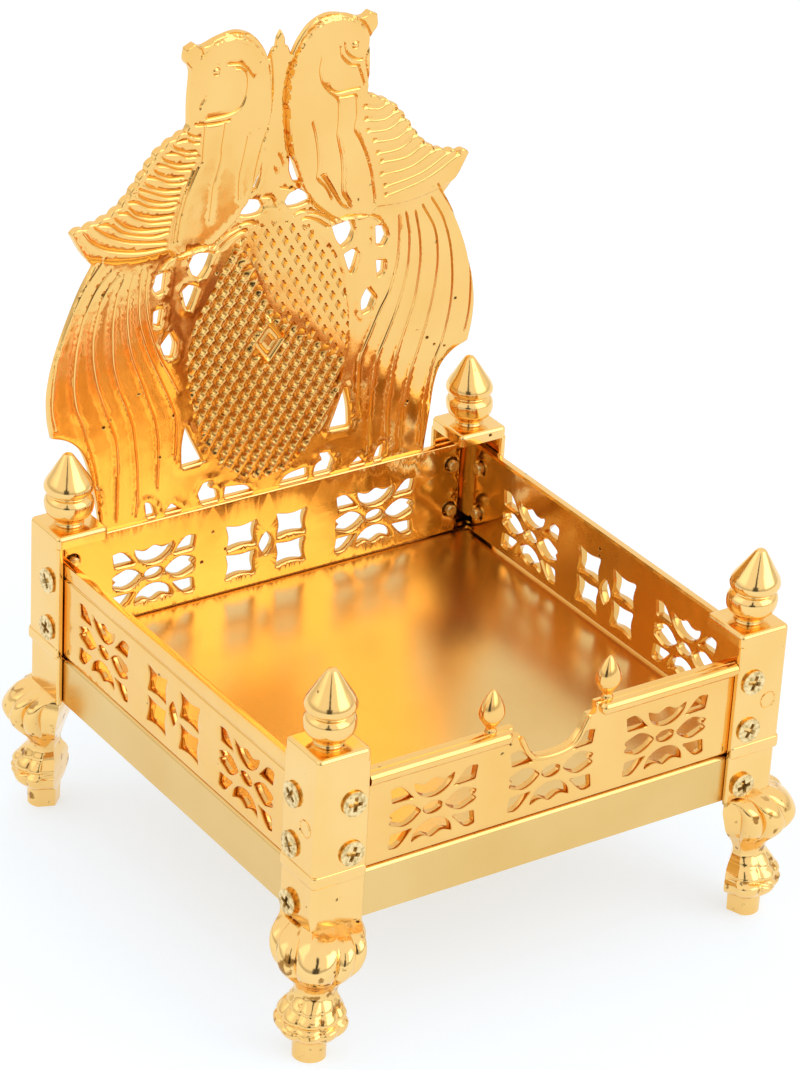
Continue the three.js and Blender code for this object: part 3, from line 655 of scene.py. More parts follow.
def leg(steps=84, back_steps=10):
    out = np.array((-math.sqrt(0.5), -math.sqrt(0.5)))
    side = np.array((math.sqrt(0.5), -math.sqrt(0.5)))
    rings = []
    for height, reach, width, middle, back, flute, aside, square in spline_rows(LEG_SHARES, 6):
        centre = middle * LEG_REACH
        depth = reach * LEG_REACH - centre
        half = width * LEG_HALF_WIDTH
        on_paw = height <= KNEE_FOOT
        valleys, keen = (PAW_VALLEYS, 1.0) if on_paw else (KNEE_VALLEYS, 0.9)
        ring = []
        for angle in (180 * (i / steps - 0.5) for i in range(steps + 1)):
            rad = math.radians(angle)
            scale = 1 - keen * max(flute, 0) * (1 - cushion(angle, valleys))
            for level, lift, cut, spread in PAW_LINES if on_paw else ():
                off = height - (level + lift * math.sin(rad) ** 2)
                scale -= cut * math.exp(-((off / spread) ** 2))
            scale *= 1 - square + square / (math.cos(rad) + abs(math.sin(rad)) + 1e-9)
            ring.append((centre + depth * math.cos(rad) * scale, half * math.sin(rad) * scale))
        back_half = max(half - LEG_BACK_INSET, half / 2)
        ring += [
            (back * LEG_REACH, back_half * (1 - 2 * i / back_steps)) for i in range(back_steps + 1)
        ]
        shift = aside * LEG_HALF_WIDTH
        places = [out * outward + side * (sideways + shift) for outward, sideways in ring]
        rings.append([(x, y, height * LEG_TOP) for x, y in places])
    return sleeve(rings)


def rounded_plan(corners, radius=POST_ROUNDING):
    """A plan whose convex corners are rounded."""
    corners = np.array(corners, float)
    points = []
    for before, corner, after in zip(np.roll(corners, 1, 0), corners, np.roll(corners, -1, 0)):
        ways = before - corner, after - corner
        lengths = [np.linalg.norm(way) for way in ways]
        if ways[0][0] * ways[1][1] - ways[0][1] * ways[1][0] > 0:
            points.append(corner)
            continue
        ease = min(radius, 0.4 * min(lengths))
        start, finish = (ease * way / length for way, length in zip(ways, lengths))
        for t in np.linspace(0, math.pi / 2, 6):
            points.append(corner + start * (1 - math.sin(t)) + finish * (1 - math.cos(t)))
    return np.array(points)


def upright(plan, rings):
    """A bar over a plan, from its inset and height at each ring."""
    return sleeve([[(x, y, height) for x, y in offset(plan, inset)] for inset, height in rings])


def eased(height, inset, rise):
    """Rings of a bar's rounded end from its side in to its face; at a foot the rise is negative."""
    turns = np.linspace(0, math.pi / 2, 5)
    return [(inset * (1 - math.cos(a)), height - rise * (1 - math.sin(a))) for a in turns]


def angle_plan(outset):
    """Plan of the L of two walls, with its outer faces moved out by an amount."""
    end = POST_WIDTH / 2
    outer, inner = end + outset, end - POST_WALL
    foot = [(-outer, -outer), (end, -outer), (end, -inner)]
    return rounded_plan([*foot, (-inner, -inner), (-inner, end), (-outer, end)])


def corner_post(lean):
    finial = [(r * FINIAL_RADIUS, POST_TOP + h * FINIAL_HEIGHT) for r, h in FINIAL_SHARES]
    turned = lathe([(finial[0][0], POST_TOP - 0.6), *spline_rows(finial, 3)], 64)
    for vertex in turned.vertices:
        rise = max(0, vertex.co.z / MM - POST_TOP) / FINIAL_HEIGHT
        vertex.co.x += lean[0] * rise * MM
        vertex.co.y += lean[1] * rise * MM
    mark = moved(lathe(EJECTOR_RING, 28), Matrix.Rotation(-math.pi / 2, 4, "Y"))
    half = POST_WIDTH / 2
    square = rounded_plan([(-half, -half), (half, -half), (half, half), (-half, half)])
    cap_foot = POST_TOP - CAP_HEIGHT
    collar = eased(COLLAR_BOTTOM, COLLAR_EASE, -0.6)[::-1]
    collar += eased(COLLAR_BOTTOM + COLLAR_HEIGHT, COLLAR_EASE, 0.8)
    return joined([
        leg(),
        upright(angle_plan(-BLOCK_INSET), [(0, BLOCK_BOTTOM), (0, COLLAR_BOTTOM + 0.3)]),
        upright(angle_plan(0), [(0, COLLAR_BOTTOM + 0.2), (0, cap_foot)]),
        upright(angle_plan(COLLAR_PROUD), collar),
        upright(square, [(0, cap_foot), *eased(POST_TOP, CAP_ROUNDING, CAP_ROUNDING)]),
        turned,
        shifted(mark, *EJECTOR_PLACE),
    ])


def make_posts():
    for turns, (corner, lean) in enumerate(zip(CORNERS, FINIAL_LEANS)):
        turn = quarter_turn(turns)
        post = corner_post(turn.inverted() @ Vector((*lean, 0)))
        post.transform(turn @ Matrix.Translation(Vector((-POST_AXIS, -POST_AXIS, 0)) * MM))
        finish_piece(f"post_{corner}_cast", post, GILT_PALE, [f"post_{corner}"], 50)


# Rails

# Openings of the windows, in shares of a window's half width and half height
CORNER_LEAF = [(0.98, 0.98), (0.74, 0.98), (0.44, 0.5), (0.94, 0.52)]
DOME_TOP = [(0.46, 0.98), (0.22, 0.85), (0, 0.98), (-0.22, 0.85), (-0.46, 0.98)]
DOME_DEPTH = 0.62
PETAL = [
    (0.28, 0), (0.45, 0.21), (0.64, 0.31), (0.82, 0.23), (0.97, 0.14), (0.87, 0), (0.97, -0.14),
    (0.82, -0.23), (0.64, -0.31), (0.45, -0.21),
]
SQUARE = [
    (0.25, 0.1), (0.6, 0.16), (0.97, 0.08), (0.92, 0.5), (0.99, 0.96), (0.62, 0.86), (0.24, 0.97),
    (0.3, 0.52),
]
LOZENGE = [
    (0.17, 0), (0.1, 0.26), (0, 0.44), (-0.1, 0.26), (-0.17, 0), (-0.1, -0.26), (0, -0.44),
    (0.1, -0.26),
]
OVAL = circle(12) * (0.23, 0.2)
QUARTERS = [(1, 1), (-1, 1), (1, -1), (-1, -1)]
EDGE_STEP = 0.35
# Share of painted shade on the walls of the rails' openings
WALL_PAINTED_SHADE = 0.35
STRAIGHT_TOP = [(RAIL_HALF_LENGTH, RAIL_TOP), (-RAIL_HALF_LENGTH, RAIL_TOP)]
# The dip of the front rail in shares of its half width and depth, and a bud's radius and height
DIP_SHARES = [
    (1, 0), (1, 0.27), (0.82, 0.27), (0.74, 0.46), (0.64, 0.69), (0.49, 0.885), (0.26, 0.975),
    (0, 1),
]
BUD_SHARES = [
    (0.5, 0), (0.4, 0.1), (0.62, 0.2), (0.95, 0.36), (1, 0.48), (0.84, 0.66), (0.45, 0.87),
    (0.16, 0.98),
]


def softened(points):
    """An opening's outline with its corners eased as a casting leaves them."""
    line = offset(flow(points, EDGE_STEP), 0.12)
    return (np.roll(line, 1, 0) + 2 * line + np.roll(line, -1, 0)) / 4


def window(shares, middle, flip_x, flip_z):
    points = [
        (middle + flip_x * x * WINDOW_HALF_WIDTH, WINDOW_MIDDLE + flip_z * z * WINDOW_HALF_HEIGHT)
        for x, z in shares
    ]
    return softened(points if flip_x * flip_z > 0 else points[::-1])


def floral_window(middle, with_top=True):
    turns = [math.pi * k / 8 for k in range(1, 8)]
    dome = DOME_TOP + [(-0.46 * math.cos(a), 0.98 - DOME_DEPTH * math.sin(a)) for a in turns]
    loops = [window(CORNER_LEAF, middle, *flips) for flips in QUARTERS]
    loops += [window(PETAL, middle, flip, 1) for flip in (1, -1)]
    loops += [window(dome, middle, 1, flip) for flip in ((1, -1) if with_top else (-1,))]
    return loops + [window(OVAL, middle, 1, 1)]


def square_window(middle):
    return [window(SQUARE, middle, *flips) for flips in QUARTERS] + [window(LOZENGE, middle, 1, 1)]


def rail_plate(top_edge, windows, height=None, rows=()):
    end, foot = RAIL_HALF_LENGTH, RAIL_BOTTOM
    arc = [
        (end - RAIL_CORNER * (1 - math.sin(a)), foot + RAIL_CORNER * (1 - math.cos(a)))
        for a in np.linspace(0, math.pi / 2, 6)
    ]
    holes = [
        (x, SCREW_HEIGHTS[level]) + SCREW_HOLE_RADIUS * circle(20)
        for x in (-SCREW_ACROSS, SCREW_ACROSS) for level in ("low", "top")
    ]
    loops = [flow(mirror(arc) + arc + top_edge, EDGE_STEP), *windows, *holes]
    grid = hex_grid((-46, 36), (46, 58), RAIL_GRID)
    plate = relief(loops, -RAIL_OUTER, -RAIL_INNER, RAIL_EDGE, grid, height, rows, RAIL_EDGE)
    # Painted shade: the walls of the openings are marked to take a browner colour, most at their
    # outlines
    near = gap_to(points_of(plate)[:, [0, 2]], loops[1:])
    painted_shade = plate.attributes.new("painted_shade", "FLOAT", "POINT")
    painted_shade.data.foreach_set("value", WALL_PAINTED_SHADE * np.clip(1 - near / 0.3, 0, 1))
    return plate


def groove(points, line, width, depth):
    """How high a face stands by a groove along a line."""
    return -depth * np.exp(-((distance(points, line) / width) ** 2))


def plain_rail():
    line = flow([(-RAIL_HALF_LENGTH, GROOVE_HEIGHT), (RAIL_HALF_LENGTH, GROOVE_HEIGHT)], 0.6, False)
    rows = [line + (0, lift) for lift in (0, 0.3, -0.3, 0.7, -0.7)]
    windows = floral_window(-WINDOW_PITCH) + square_window(0) + floral_window(WINDOW_PITCH)
    return rail_plate(STRAIGHT_TOP, windows, lambda at, _: groove(at, line, 0.2, 0.3), rows)


def tube(line, radius, depth, sides=12):
    """A round bead along a line in X and Z at a depth in Y."""
    turns = [2 * math.pi * k / sides for k in range(sides)]
    ring = [(radius * math.cos(a), depth - radius * math.sin(a)) for a in turns]
    bead = sleeve([
        [(x - az * out, y, z + ax * out) for out, y in ring]
        for (x, z), (ax, az) in zip(line, headings(line))
    ])
    return edited(bead, lambda bm: bmesh.ops.recalc_face_normals(bm, faces=bm.faces))


def front_rail():
    half = [(x * DIP_HALF_WIDTH, RAIL_TOP - d * DIP_DEPTH) for x, d in DIP_SHARES]
    edge = half + mirror(half)[1:]
    windows = floral_window(-WINDOW_PITCH) + floral_window(0, False) + floral_window(WINDOW_PITCH)
    parts = [rail_plate([STRAIGHT_TOP[0], *edge, STRAIGHT_TOP[1]], windows)]
    rim_line = flow([(x, z - 0.45) for x, z in edge[2:-2]], 0.5, False)
    parts.append(tube(rim_line, DIP_RIM_RADIUS, -RAIL_OUTER - 0.1))
    inner, outer = DIP_HALF_WIDTH + 0.6, SEAT_WIDTH / 2 - POST_WIDTH - FIT_GAP
    bead = [
        (BEAD_RADIUS * math.sin(a), inner + BEAD_RADIUS * (1 - math.cos(a)))
        for a in np.linspace(0.1, math.pi / 2, 6)
    ] + [(BEAD_RADIUS, outer)]
    bud = spline_rows([(h * BUD_HEIGHT, r * BUD_RADIUS) for r, h in BUD_SHARES], 4)
    bud = [(0.5 * BUD_RADIUS, -0.6), *((r, h) for h, r in bud), (0.05, BUD_HEIGHT)]
    middle = -(RAIL_OUTER + RAIL_INNER) / 2
    for way in (1, -1):
        lying = moved(lathe(bead, 28), Matrix.Rotation(way * math.pi / 2, 4, "Y"))
        parts.append(shifted(lying, 0, -RAIL_OUTER - BEAD_PROUD, BEAD_MIDDLE))
        parts.append(shifted(lathe(bud, 32, 0.8), way * BUD_SPREAD + BUD_SHIFT, middle, RAIL_TOP))
    return joined(parts)


def make_rails():
    finish_piece("front_rail_cast", front_rail(), GILT, ["front_rail"])
    rail = plain_rail()
    for turns, name in ((3, "left_rail"), (1, "right_rail")):
        finish_piece(f"{name}_cast", moved(rail, quarter_turn(turns)), GILT, [name])
    return rail


# Peacock back

# The right half of the outline, its openings and a bird, as points across and up in thousandths
# of the frame's half width and height
TAIL_OUTER = [
    750, 0, 760, 56, 780, 116, 800, 170, 830, 208, 885, 234, 955, 248, 970, 290, 972, 340, 950,
    400, 905, 466, 845, 536, 790, 584,
]
WING_UNDER = [845, 617, 890, 657]
WING_EDGE = [
    890, 660, 810, 667, 740, 677, 680, 695, 630, 721, 580, 754, 530, 784, 470, 804, 405, 818,
]
HEAD = [
    398, 830, 400, 880, 396, 935, 424, 958, 420, 982, 386, 990, 350, 981, 280, 992, 200, 998, 130,
    985, 80, 958, 50, 930, 34, 948, 22, 950, 16, 968, 0, 982,
]
OPENINGS = [
    [68, 728, 62, 699, 82, 672, 116, 668, 94, 696],
    [48, 632, 64, 622, 110, 620, 166, 626, 148, 642, 112, 654, 68, 648],
    [268, 562, 292, 532, 322, 512, 356, 524, 374, 546, 352, 568],
    [330, 498, 352, 468, 368, 452, 382, 462, 400, 496, 372, 506],
    [472, 544, 480, 502, 512, 498, 532, 516, 512, 540],
    [484, 470, 494, 432, 524, 440, 524, 466],
    [448, 416, 424, 390, 432, 360, 468, 366, 488, 392],
    [366, 210, 326, 162, 290, 122, 388, 120, 384, 166],
    [60, 30, 196, 30, 190, 54, 100, 47],
    [220, 30, 300, 30, 316, 54, 292, 74, 246, 76, 262, 60, 232, 52],
    [390, 30, 470, 30, 436, 48],
    [505, 30, 548, 30, 556, 64, 526, 56],
]
# The bird stands free from the back of its head, round by the stem and down to the wing's foot
BIRD = [
    388, 840, 386, 930, 350, 966, 280, 984, 200, 988, 136, 974, 88, 948, 56, 912, 38, 850, 46, 790,
    62, 742, 90, 694, 138, 642, 206, 606, 300, 574, 420, 566, 470, 586,
]

# Carved lines in millimetres across and up, traced for each side because no two are alike
LEFT_BIRD_LINES = [
    [-17.2, 152, -14, 153.2, -10, 152.9, -6, 151.5, -3.9, 149, -2.8, 146, -2.4, 142, -2.4, 139, -3,
     135, -4, 132, -5.2, 128, -6, 124, -6.3, 122],
    [-12.4, 147.5, -10, 147.2, -8.8, 146.3, -7.2, 144.2],
    [-10.8, 146.5, -9.5, 146.1, -8.6, 144.9, -8.3, 143, -8.5, 141, -9.3, 139, -10.4, 138.2, -12.5,
     137.6, -17, 137.5],
    [-19.2, 136.7, -17.2, 136.4, -14.5, 136.2, -12.2, 136.3],
    [-17.1, 136.2, -17.3, 133, -17.4, 130, -17.5, 129],
    [-12.8, 135.9, -13, 134, -13.4, 131, -13.4, 129, -14.2, 126, -14.9, 123.5, -15.2, 120, -15.5,
     117],
    [-7.8, 132.2, -8.2, 130, -8.8, 127, -9.2, 125, -9.3, 122, -9.2, 120],
    [-18.4, 128, -19.9, 124.6, -21, 121, -21.8, 117.5, -22.2, 114],
    [-19.2, 128.2, -20.7, 124.6, -21.8, 121, -22.6, 117.5, -23, 114],
    [-17.6, 141.4, -18.2, 140.6, -18.3, 139.8],
    [-18.7, 151.9, -18.2, 151.2, -17.9, 150.1],
]
RIGHT_BIRD_LINES = [
    [4, 151.6, 6.4, 152.7, 9.6, 153.1, 12.8, 152.8, 15.6, 151.6, 17.3, 149.9, 18.2, 148, 18.3, 146,
     17.7, 144.3, 17.6, 143, 17.9, 141.5, 18.2, 140, 18.4, 138.7],
    [7.7, 145.2, 7.4, 143, 7.6, 141.5, 8.1, 140, 9, 138.8, 10.2, 137.7, 11.2, 136.8, 11.9, 135.5,
     12.1, 133, 12.1, 130.5, 12, 129, 12.6, 126.5, 13.2, 124, 13.6, 121, 13.7, 118.5, 14, 116.5,
     15, 115, 15.6, 113.8],
    [8.6, 139.9, 9.4, 138.9, 10.6, 138.1, 12, 137.7, 14, 137.8, 16.4, 137.8],
    [12.4, 136.7, 14, 136.6, 15.3, 136.6, 15.8, 136.1, 16, 134.5, 16.2, 132, 15.9, 130.3, 16, 129,
     17.2, 127, 18.3, 124.8, 19.4, 122, 20.2, 119.5, 20.8, 116.5, 21.2, 114.5, 21.3, 113.3],
    [6.3, 132.3, 6.9, 130.5, 7.5, 128, 7.9, 125.5, 8.1, 123, 8, 120.8, 9.4, 119.3, 10.5, 117.8,
     11.4, 116],
    [9.2, 121, 10.8, 118.7, 12.2, 116.5, 13.5, 114.6, 15.1, 113.4],
    [11.7, 146.7, 12, 145, 12.8, 143.9, 14, 142.9, 15.8, 142.4, 16.2, 141.5, 16.8, 140, 17.4,
     138.3],
    [12.6, 147.2, 13.2, 145.3, 14.8, 144, 16.6, 143.5],
    [18.4, 136.6, 19.6, 136.3, 20.8, 136],
]
LEFT_TAIL_LINES = [
    [-37.8, 113.2, -41.3, 108.7, -44.3, 103.7, -46.1, 99.3, -47.4, 93.7, -48, 88.4, -48, 84.1,
     -47.2, 80.4],
    [-36.1, 110.8, -39.1, 107.6, -41.3, 103.2, -42.6, 98.4, -43.3, 93.7, -43.5, 88.4, -42.8, 83.7,
     -41.3, 79.7, -40.4, 76.3, -39.1, 72.3, -38.3, 68.9, -37.6, 63.7, -37.2, 58],
    [-34.8, 109.3, -37.4, 106.3, -38.9, 101.5, -39.6, 97.1, -39.4, 92.3, -38.5, 87.6, -37, 83.2,
     -35.4, 78.9, -34.1, 75, -33.6, 70.6, -33.5, 65.8, -33.5, 58],
    [-33.3, 108.9, -34.6, 105.4, -35.4, 100.6, -35.4, 95.4, -35, 90.6, -33.5, 85.4, -31.7, 81,
     -30.4, 76.7, -29.8, 72.3, -29.3, 68, -29.1, 62.3, -29.4, 58],
    [-31.3, 108.9, -32.2, 105, -32.4, 99.7, -31.7, 94.5, -30.4, 90.2, -28.7, 85.8, -27, 81, -25.7,
     77.6, -24.9, 72.8, -24.7, 68, -24.7, 63.2],
    [-29.6, 109.3, -29.9, 105, -29.8, 99.7, -28.7, 95.4, -27.4, 91.9, -25.7, 88, -23.9, 84.1,
     -22.2, 80.2, -21.1, 76.3, -21, 71, -21.1, 68.5],
    [-28, 109.3, -28.5, 105, -28, 99.7, -26.5, 94.5, -24.8, 90.2, -22.6, 86.3, -20.8, 82.8],
]
RIGHT_TAIL_LINES = [
    [27.4, 108.9, 27.7, 103.7, 27.4, 98.9, 26.1, 93.7, 24.3, 90.2, 22.4, 85.8, 20.4, 81, 20.1,
     77.6, 20.2, 74.5, 20.4, 70, 21, 67.6],
    [29, 109.5, 30, 105, 30.2, 100.6, 30, 97.1, 29.1, 92.8, 27.6, 88, 25.9, 83.7, 24.3, 79.7, 23.9,
     76.3, 23.4, 71, 23.3, 65, 23.5, 60],
    [31.2, 109.3, 32.4, 104.5, 33, 99.7, 32.8, 95.4, 32.2, 90.6, 31.1, 86.7, 29.6, 81.9, 28.5,
     77.6, 28, 72.3, 27.6, 68, 27.6, 62, 28, 58],
    [33, 110, 35.9, 105, 37, 99.7, 37, 94.5, 36.3, 89.3, 35.2, 84.1, 33.7, 78.9, 32.4, 74.5, 31.7,
     70.2, 31.1, 65.8, 30.9, 58],
    [34.8, 111.5, 37.8, 106.7, 39.8, 101, 40.7, 95.8, 41, 91, 40.7, 86.3, 39.6, 80.6, 38, 76.3, 37,
     72.3, 36.3, 68, 36.1, 63.7, 35.9, 58],
    [35.9, 114.1, 39.3, 108.9, 42.2, 103.7, 44.1, 98.9, 45.2, 93.7, 45.5, 89.3, 45.4, 85, 44.7,
     81],
]
# Feathers of the left wing are pairs of fine lines that meet at their tips
LEFT_WING_LINES = [
    [-20.8, 135.4, -20, 134.7, -18.3, 134.1],
    [-23, 134, -21, 134, -19.5, 133.2, -18.4, 133],
    [-23.8, 133.3, -22.5, 132.3, -20.5, 131.6, -18.8, 131.3],
    [-25, 132.1, -22.7, 131.6, -20.8, 130.6, -19, 130.4],
    [-26, 131.3, -24.5, 130.2, -22, 129.3, -19.3, 129],
    [-27, 130.2, -25, 129.6, -22.5, 128.4, -19.6, 127.9],
    [-27.6, 129.2, -26.5, 128.2, -24, 127.1, -21.5, 126.8],
    [-29, 128.1, -27, 127.5, -24.5, 126.2, -22, 125.7, -20.7, 125.8],
    [-29.5, 126.8, -28, 125.8, -25, 124.7, -22, 124.3],
    [-30.8, 126, -28.5, 125, -25, 123.4, -22.3, 123],
    [-31, 125, -29, 123.5, -26, 122.4, -22.8, 122.1],
    [-32.8, 123.8, -31, 123.4, -28.5, 122, -25.5, 121.2, -23.5, 121, -22.2, 121.6],
    [-33, 123, -31, 121, -27.5, 119.8, -23.5, 119.5],
    [-35, 122.1, -33, 121.6, -31, 120.2, -28, 118.9, -24, 118.4],
    [-35.6, 121, -33, 118.8, -29.5, 117.6, -24.5, 117.1],
    [-39, 120.6, -36.5, 119.9, -34, 118, -30, 116.6, -27, 116, -24.5, 116.2],
    [-40, 120.2, -37, 117.8, -33, 116, -29, 115, -24.8, 114.3],
    [-42.4, 119.7, -40.8, 117.6, -38, 115.6, -34, 114.2, -29.5, 113.3, -24.8, 113.2],
]
# Feathers of the right wing are soft furrows, each from a dot at its root to a notch at its tip
WING_ROOTS = [
    17.8, 133.8, 18.2, 131.2, 18.8, 128.7, 20.4, 126.4, 21.3, 123.7, 22.3, 121.8, 22.5, 119.1,
    23.4, 116.5, 23.7, 114.5,
]
WING_NOTCHES = [
    23, 134, 25, 131.8, 26.6, 130, 28.5, 127.7, 30, 126, 31.8, 123.7, 34.2, 122, 38, 121, 40.3,
    120.1,
]
WING_SAG = 0.9
CLAW_LINES = [
    [14.1, 111.6, 16.4, 111.8, 19.8, 111.2, 22.7, 110.3, 24.6, 108.9, 25.6, 106.9],
    [9.3, 113.8, 6.4, 114.6, 4.5, 114.2, 3.7, 112.9],
    [12.2, 110.1, 9.6, 112, 7, 113, 5.7, 112.5],
    [13.6, 110.9, 10.7, 112.9, 7.6, 114],
]
STEM_LINES = [
    [-0.4, 127.2, 0.2, 126.2, 0.8, 124.6],
    [-1.2, 124.6, -0.7, 123.4],
    [-3.4, 119, -1.6, 118.6, -0.6, 116.8],
    [0.6, 120.2, 2.6, 119.6, 4.2, 119.2],
    [0, 152, 0.8, 151, 1, 150.2],
]
EYES = [(-15.1, 146.5), (15, 146.6)]
SCALLOPS = 11
# Where parts of the panel begin or end, in millimetres from the birds' middle or up
STEM_HALF_WIDTH, STEM_FOOT = 8, 117
WING_START = 15
HEAD_FOOT = 136
SCROLL_HALF_WIDTH, SCROLL_TOP, LOW_SCROLL_TOP = 26, 112, 66

# Lattice of the medallion: strips per millimetre across and up, and where the strips start
LATTICE_ACROSS = 0.354
LATTICE_UP = 0.2175
STARTS = (0.87, 0.38)
# Half widths of the strips, where each one's top ends and where its foot is, in strips
KEEN_STRIPS = ((0.06, 0.17), (0.13, 0.3))
FLAT_STRIPS = ((0.24, 0.34), (0.18, 0.3))
DIAMOND_MIDDLE = (BIRDS_MIDDLE, 88.5)
DIAMOND_HALVES = (3.7, 4.8)
DIAMOND_ROOM = 1.1


def swayed(points):
    """The panel stands a little to the left at its upper part, as it was cast and screwed on."""
    points = np.array(points, float)
    share = np.clip((points[:, 1] - 58) / 20, 0, 1)
    return points - np.stack([PANEL_SWAY * share**2 * (3 - 2 * share), 0 * share], 1)


def in_frame(row):
    return [(x * FRAME_HALF_WIDTH, FRAME_FOOT + z * FRAME_HEIGHT) for x, z in pairs(row) / 1000]


def scalloped_edge():
    """The wing's upper edge, with a small bump for the tip of each feather."""
    line = flow(in_frame(WING_EDGE), 0.2, False)
    lift = 0.62 * np.abs(np.sin(math.pi * SCALLOPS * np.linspace(0, 1, len(line)))) ** 0.7
    x, z = headings(line).T
    return (line + lift[:, None] * np.stack([z, -x], 1))[::2]


def panel_loops():
    lower = flow(in_frame(TAIL_OUTER + WING_UNDER), 0.5, False)
    half = np.vstack([lower, scalloped_edge(), flow(in_frame(HEAD), 0.5, False)])
    holes = [softened(side) for row in OPENINGS for side in (in_frame(row), mirror(in_frame(row)))]
    return [swayed(loop) for loop in [np.vstack([half, mirror(half)[1:]]), *holes]]


def lattice_axes(points):
    """Where points lie across the two families of strips, in strips."""
    u, v = points[:, 0] * LATTICE_ACROSS, points[:, 1] * LATTICE_UP
    return u + v - STARTS[0], u - v - STARTS[1]


def flat_zone(points):
    """1 in the upper right of the medallion, where the strips are worn flat, and 0 elsewhere."""
    x, z = points.T
    border = 94.5 - np.where(x < -0.5, 1.87, 0.8) * (x + 0.5)
    return np.clip((z - border) / 0.8 + 0.5, 0, 1)


def medallion_share(points):
    """0 at the middle of the medallion and 1 on its outline."""
    return np.hypot(*((points - MEDALLION_MIDDLE) / MEDALLION_HALVES).T)


def lattice_room(points):
    """How far points lie inside the edge of the lattice, which has a smooth band at its left."""
    x, z = points.T
    band = 0.5 + 0.9 * np.clip(-x / 12, 0, 1) * np.clip((90 - z) / 12, 0, 1)
    band += 1.5 * np.exp(-((x + 15) ** 2 + (z - 103) ** 2) / 40)
    return (1 - medallion_share(points)) * MEDALLION_HALVES[0] - band


def diamond_share(points):
    """0 at the middle of the lattice's diamond and 1 on its outline."""
    return np.abs((points - DIAMOND_MIDDLE) / DIAMOND_HALVES).sum(1)


def lattice_grid(reach=14):
    """Points on the tops, the feet and between the strips of both families."""
    starts = [round(float(m[0])) for m in lattice_axes(np.array([DIAMOND_MIDDLE]))]
    steps = np.arange(-reach, reach + 1)[:, None]
    found = []
    for zone, widths in ((0, KEEN_STRIPS), (1, FLAT_STRIPS)):
        axes = [
            (start + steps + (-0.5, -high, -low, 0, low, high)).ravel()
            for start, (low, high) in zip(starts, widths)
        ]
        p, q = (at.ravel() + start for at, start in zip(np.meshgrid(*axes), STARTS))
        points = np.stack([(p + q) / 2 / LATTICE_ACROSS, (p - q) / 2 / LATTICE_UP], 1)
        found.append(points[(flat_zone(points) > 0.5) == bool(zone)])
    points = np.vstack(found)
    return points[(lattice_room(points) > 0.15) & (diamond_share(points) > DIAMOND_ROOM + 0.02)]


def strip(at, low, high):
    """1 on a strip and 0 between strips."""
    return 1 - np.clip((np.abs(at - np.round(at)) - low) / (high - low), 0, 1)


def lattice_height(points):
    p, q = lattice_axes(points)
    keen = np.maximum(0.34 * strip(p, *KEEN_STRIPS[0]), 0.75 * strip(q, *KEEN_STRIPS[1])) - 0.74
    flat = 0.55 * np.maximum(strip(p, *FLAT_STRIPS[0]), strip(q, *FLAT_STRIPS[1])) - 0.57
    zone = flat_zone(points)
    share = diamond_share(points)
    lip = np.clip(1 - np.abs(share - 0.93) / 0.13, 0, 1)
    inner = np.clip(1 - np.abs(share - 0.45) / 0.12, 0, 1)
    centre = -0.5 + 0.55 * lip + 0.25 * inner + 0.3 * np.clip(1 - share / 0.2, 0, 1)
    return np.where(share < DIAMOND_ROOM, centre, keen * (1 - zone) + flat * zone)


def diamond_rows():
    """Points on the corners and sides of the diamonds round the middle of the lattice."""
    corners = np.array([(1, 0), (0, 1), (-1, 0), (0, -1)]) * DIAMOND_HALVES
    shares = (0.2, 0.33, 0.45, 0.57, 0.8, 0.93, 1.06, DIAMOND_ROOM)
    return [flow(corners * share + DIAMOND_MIDDLE, 0.5, True, 10) for share in shares]


def room_line(room):
    """The line in the medallion where the lattice has an amount of room."""
    reach = circle(330) * MEDALLION_HALVES
    share = np.ones(len(reach))
    for _ in range(8):
        at = reach * share[:, None] + MEDALLION_MIDDLE
        share += (lattice_room(at) - room) / MEDALLION_HALVES[0]
    return reach * share[:, None] + MEDALLION_MIDDLE


def fine_lines(rows):
    return [flow(pairs(row), 0.45, False, 180) for row in rows]


def with_shoulders(lines, *widths):
    rows = []
    for line in lines:
        rows.append(line)
        for width in widths:
            rows += [offset(line, width, False), offset(line, -width, False)]
    return rows


def wing_foot(x):
    """Height of the lower edge of the wings, over the tails."""
    return 111.9 + ((np.abs(x + 1) - 28) / 8) ** 2


def dent(at, width):
    """1 at 0, falling softly to 0 over a width."""
    return np.exp(-((at / width) ** 2))


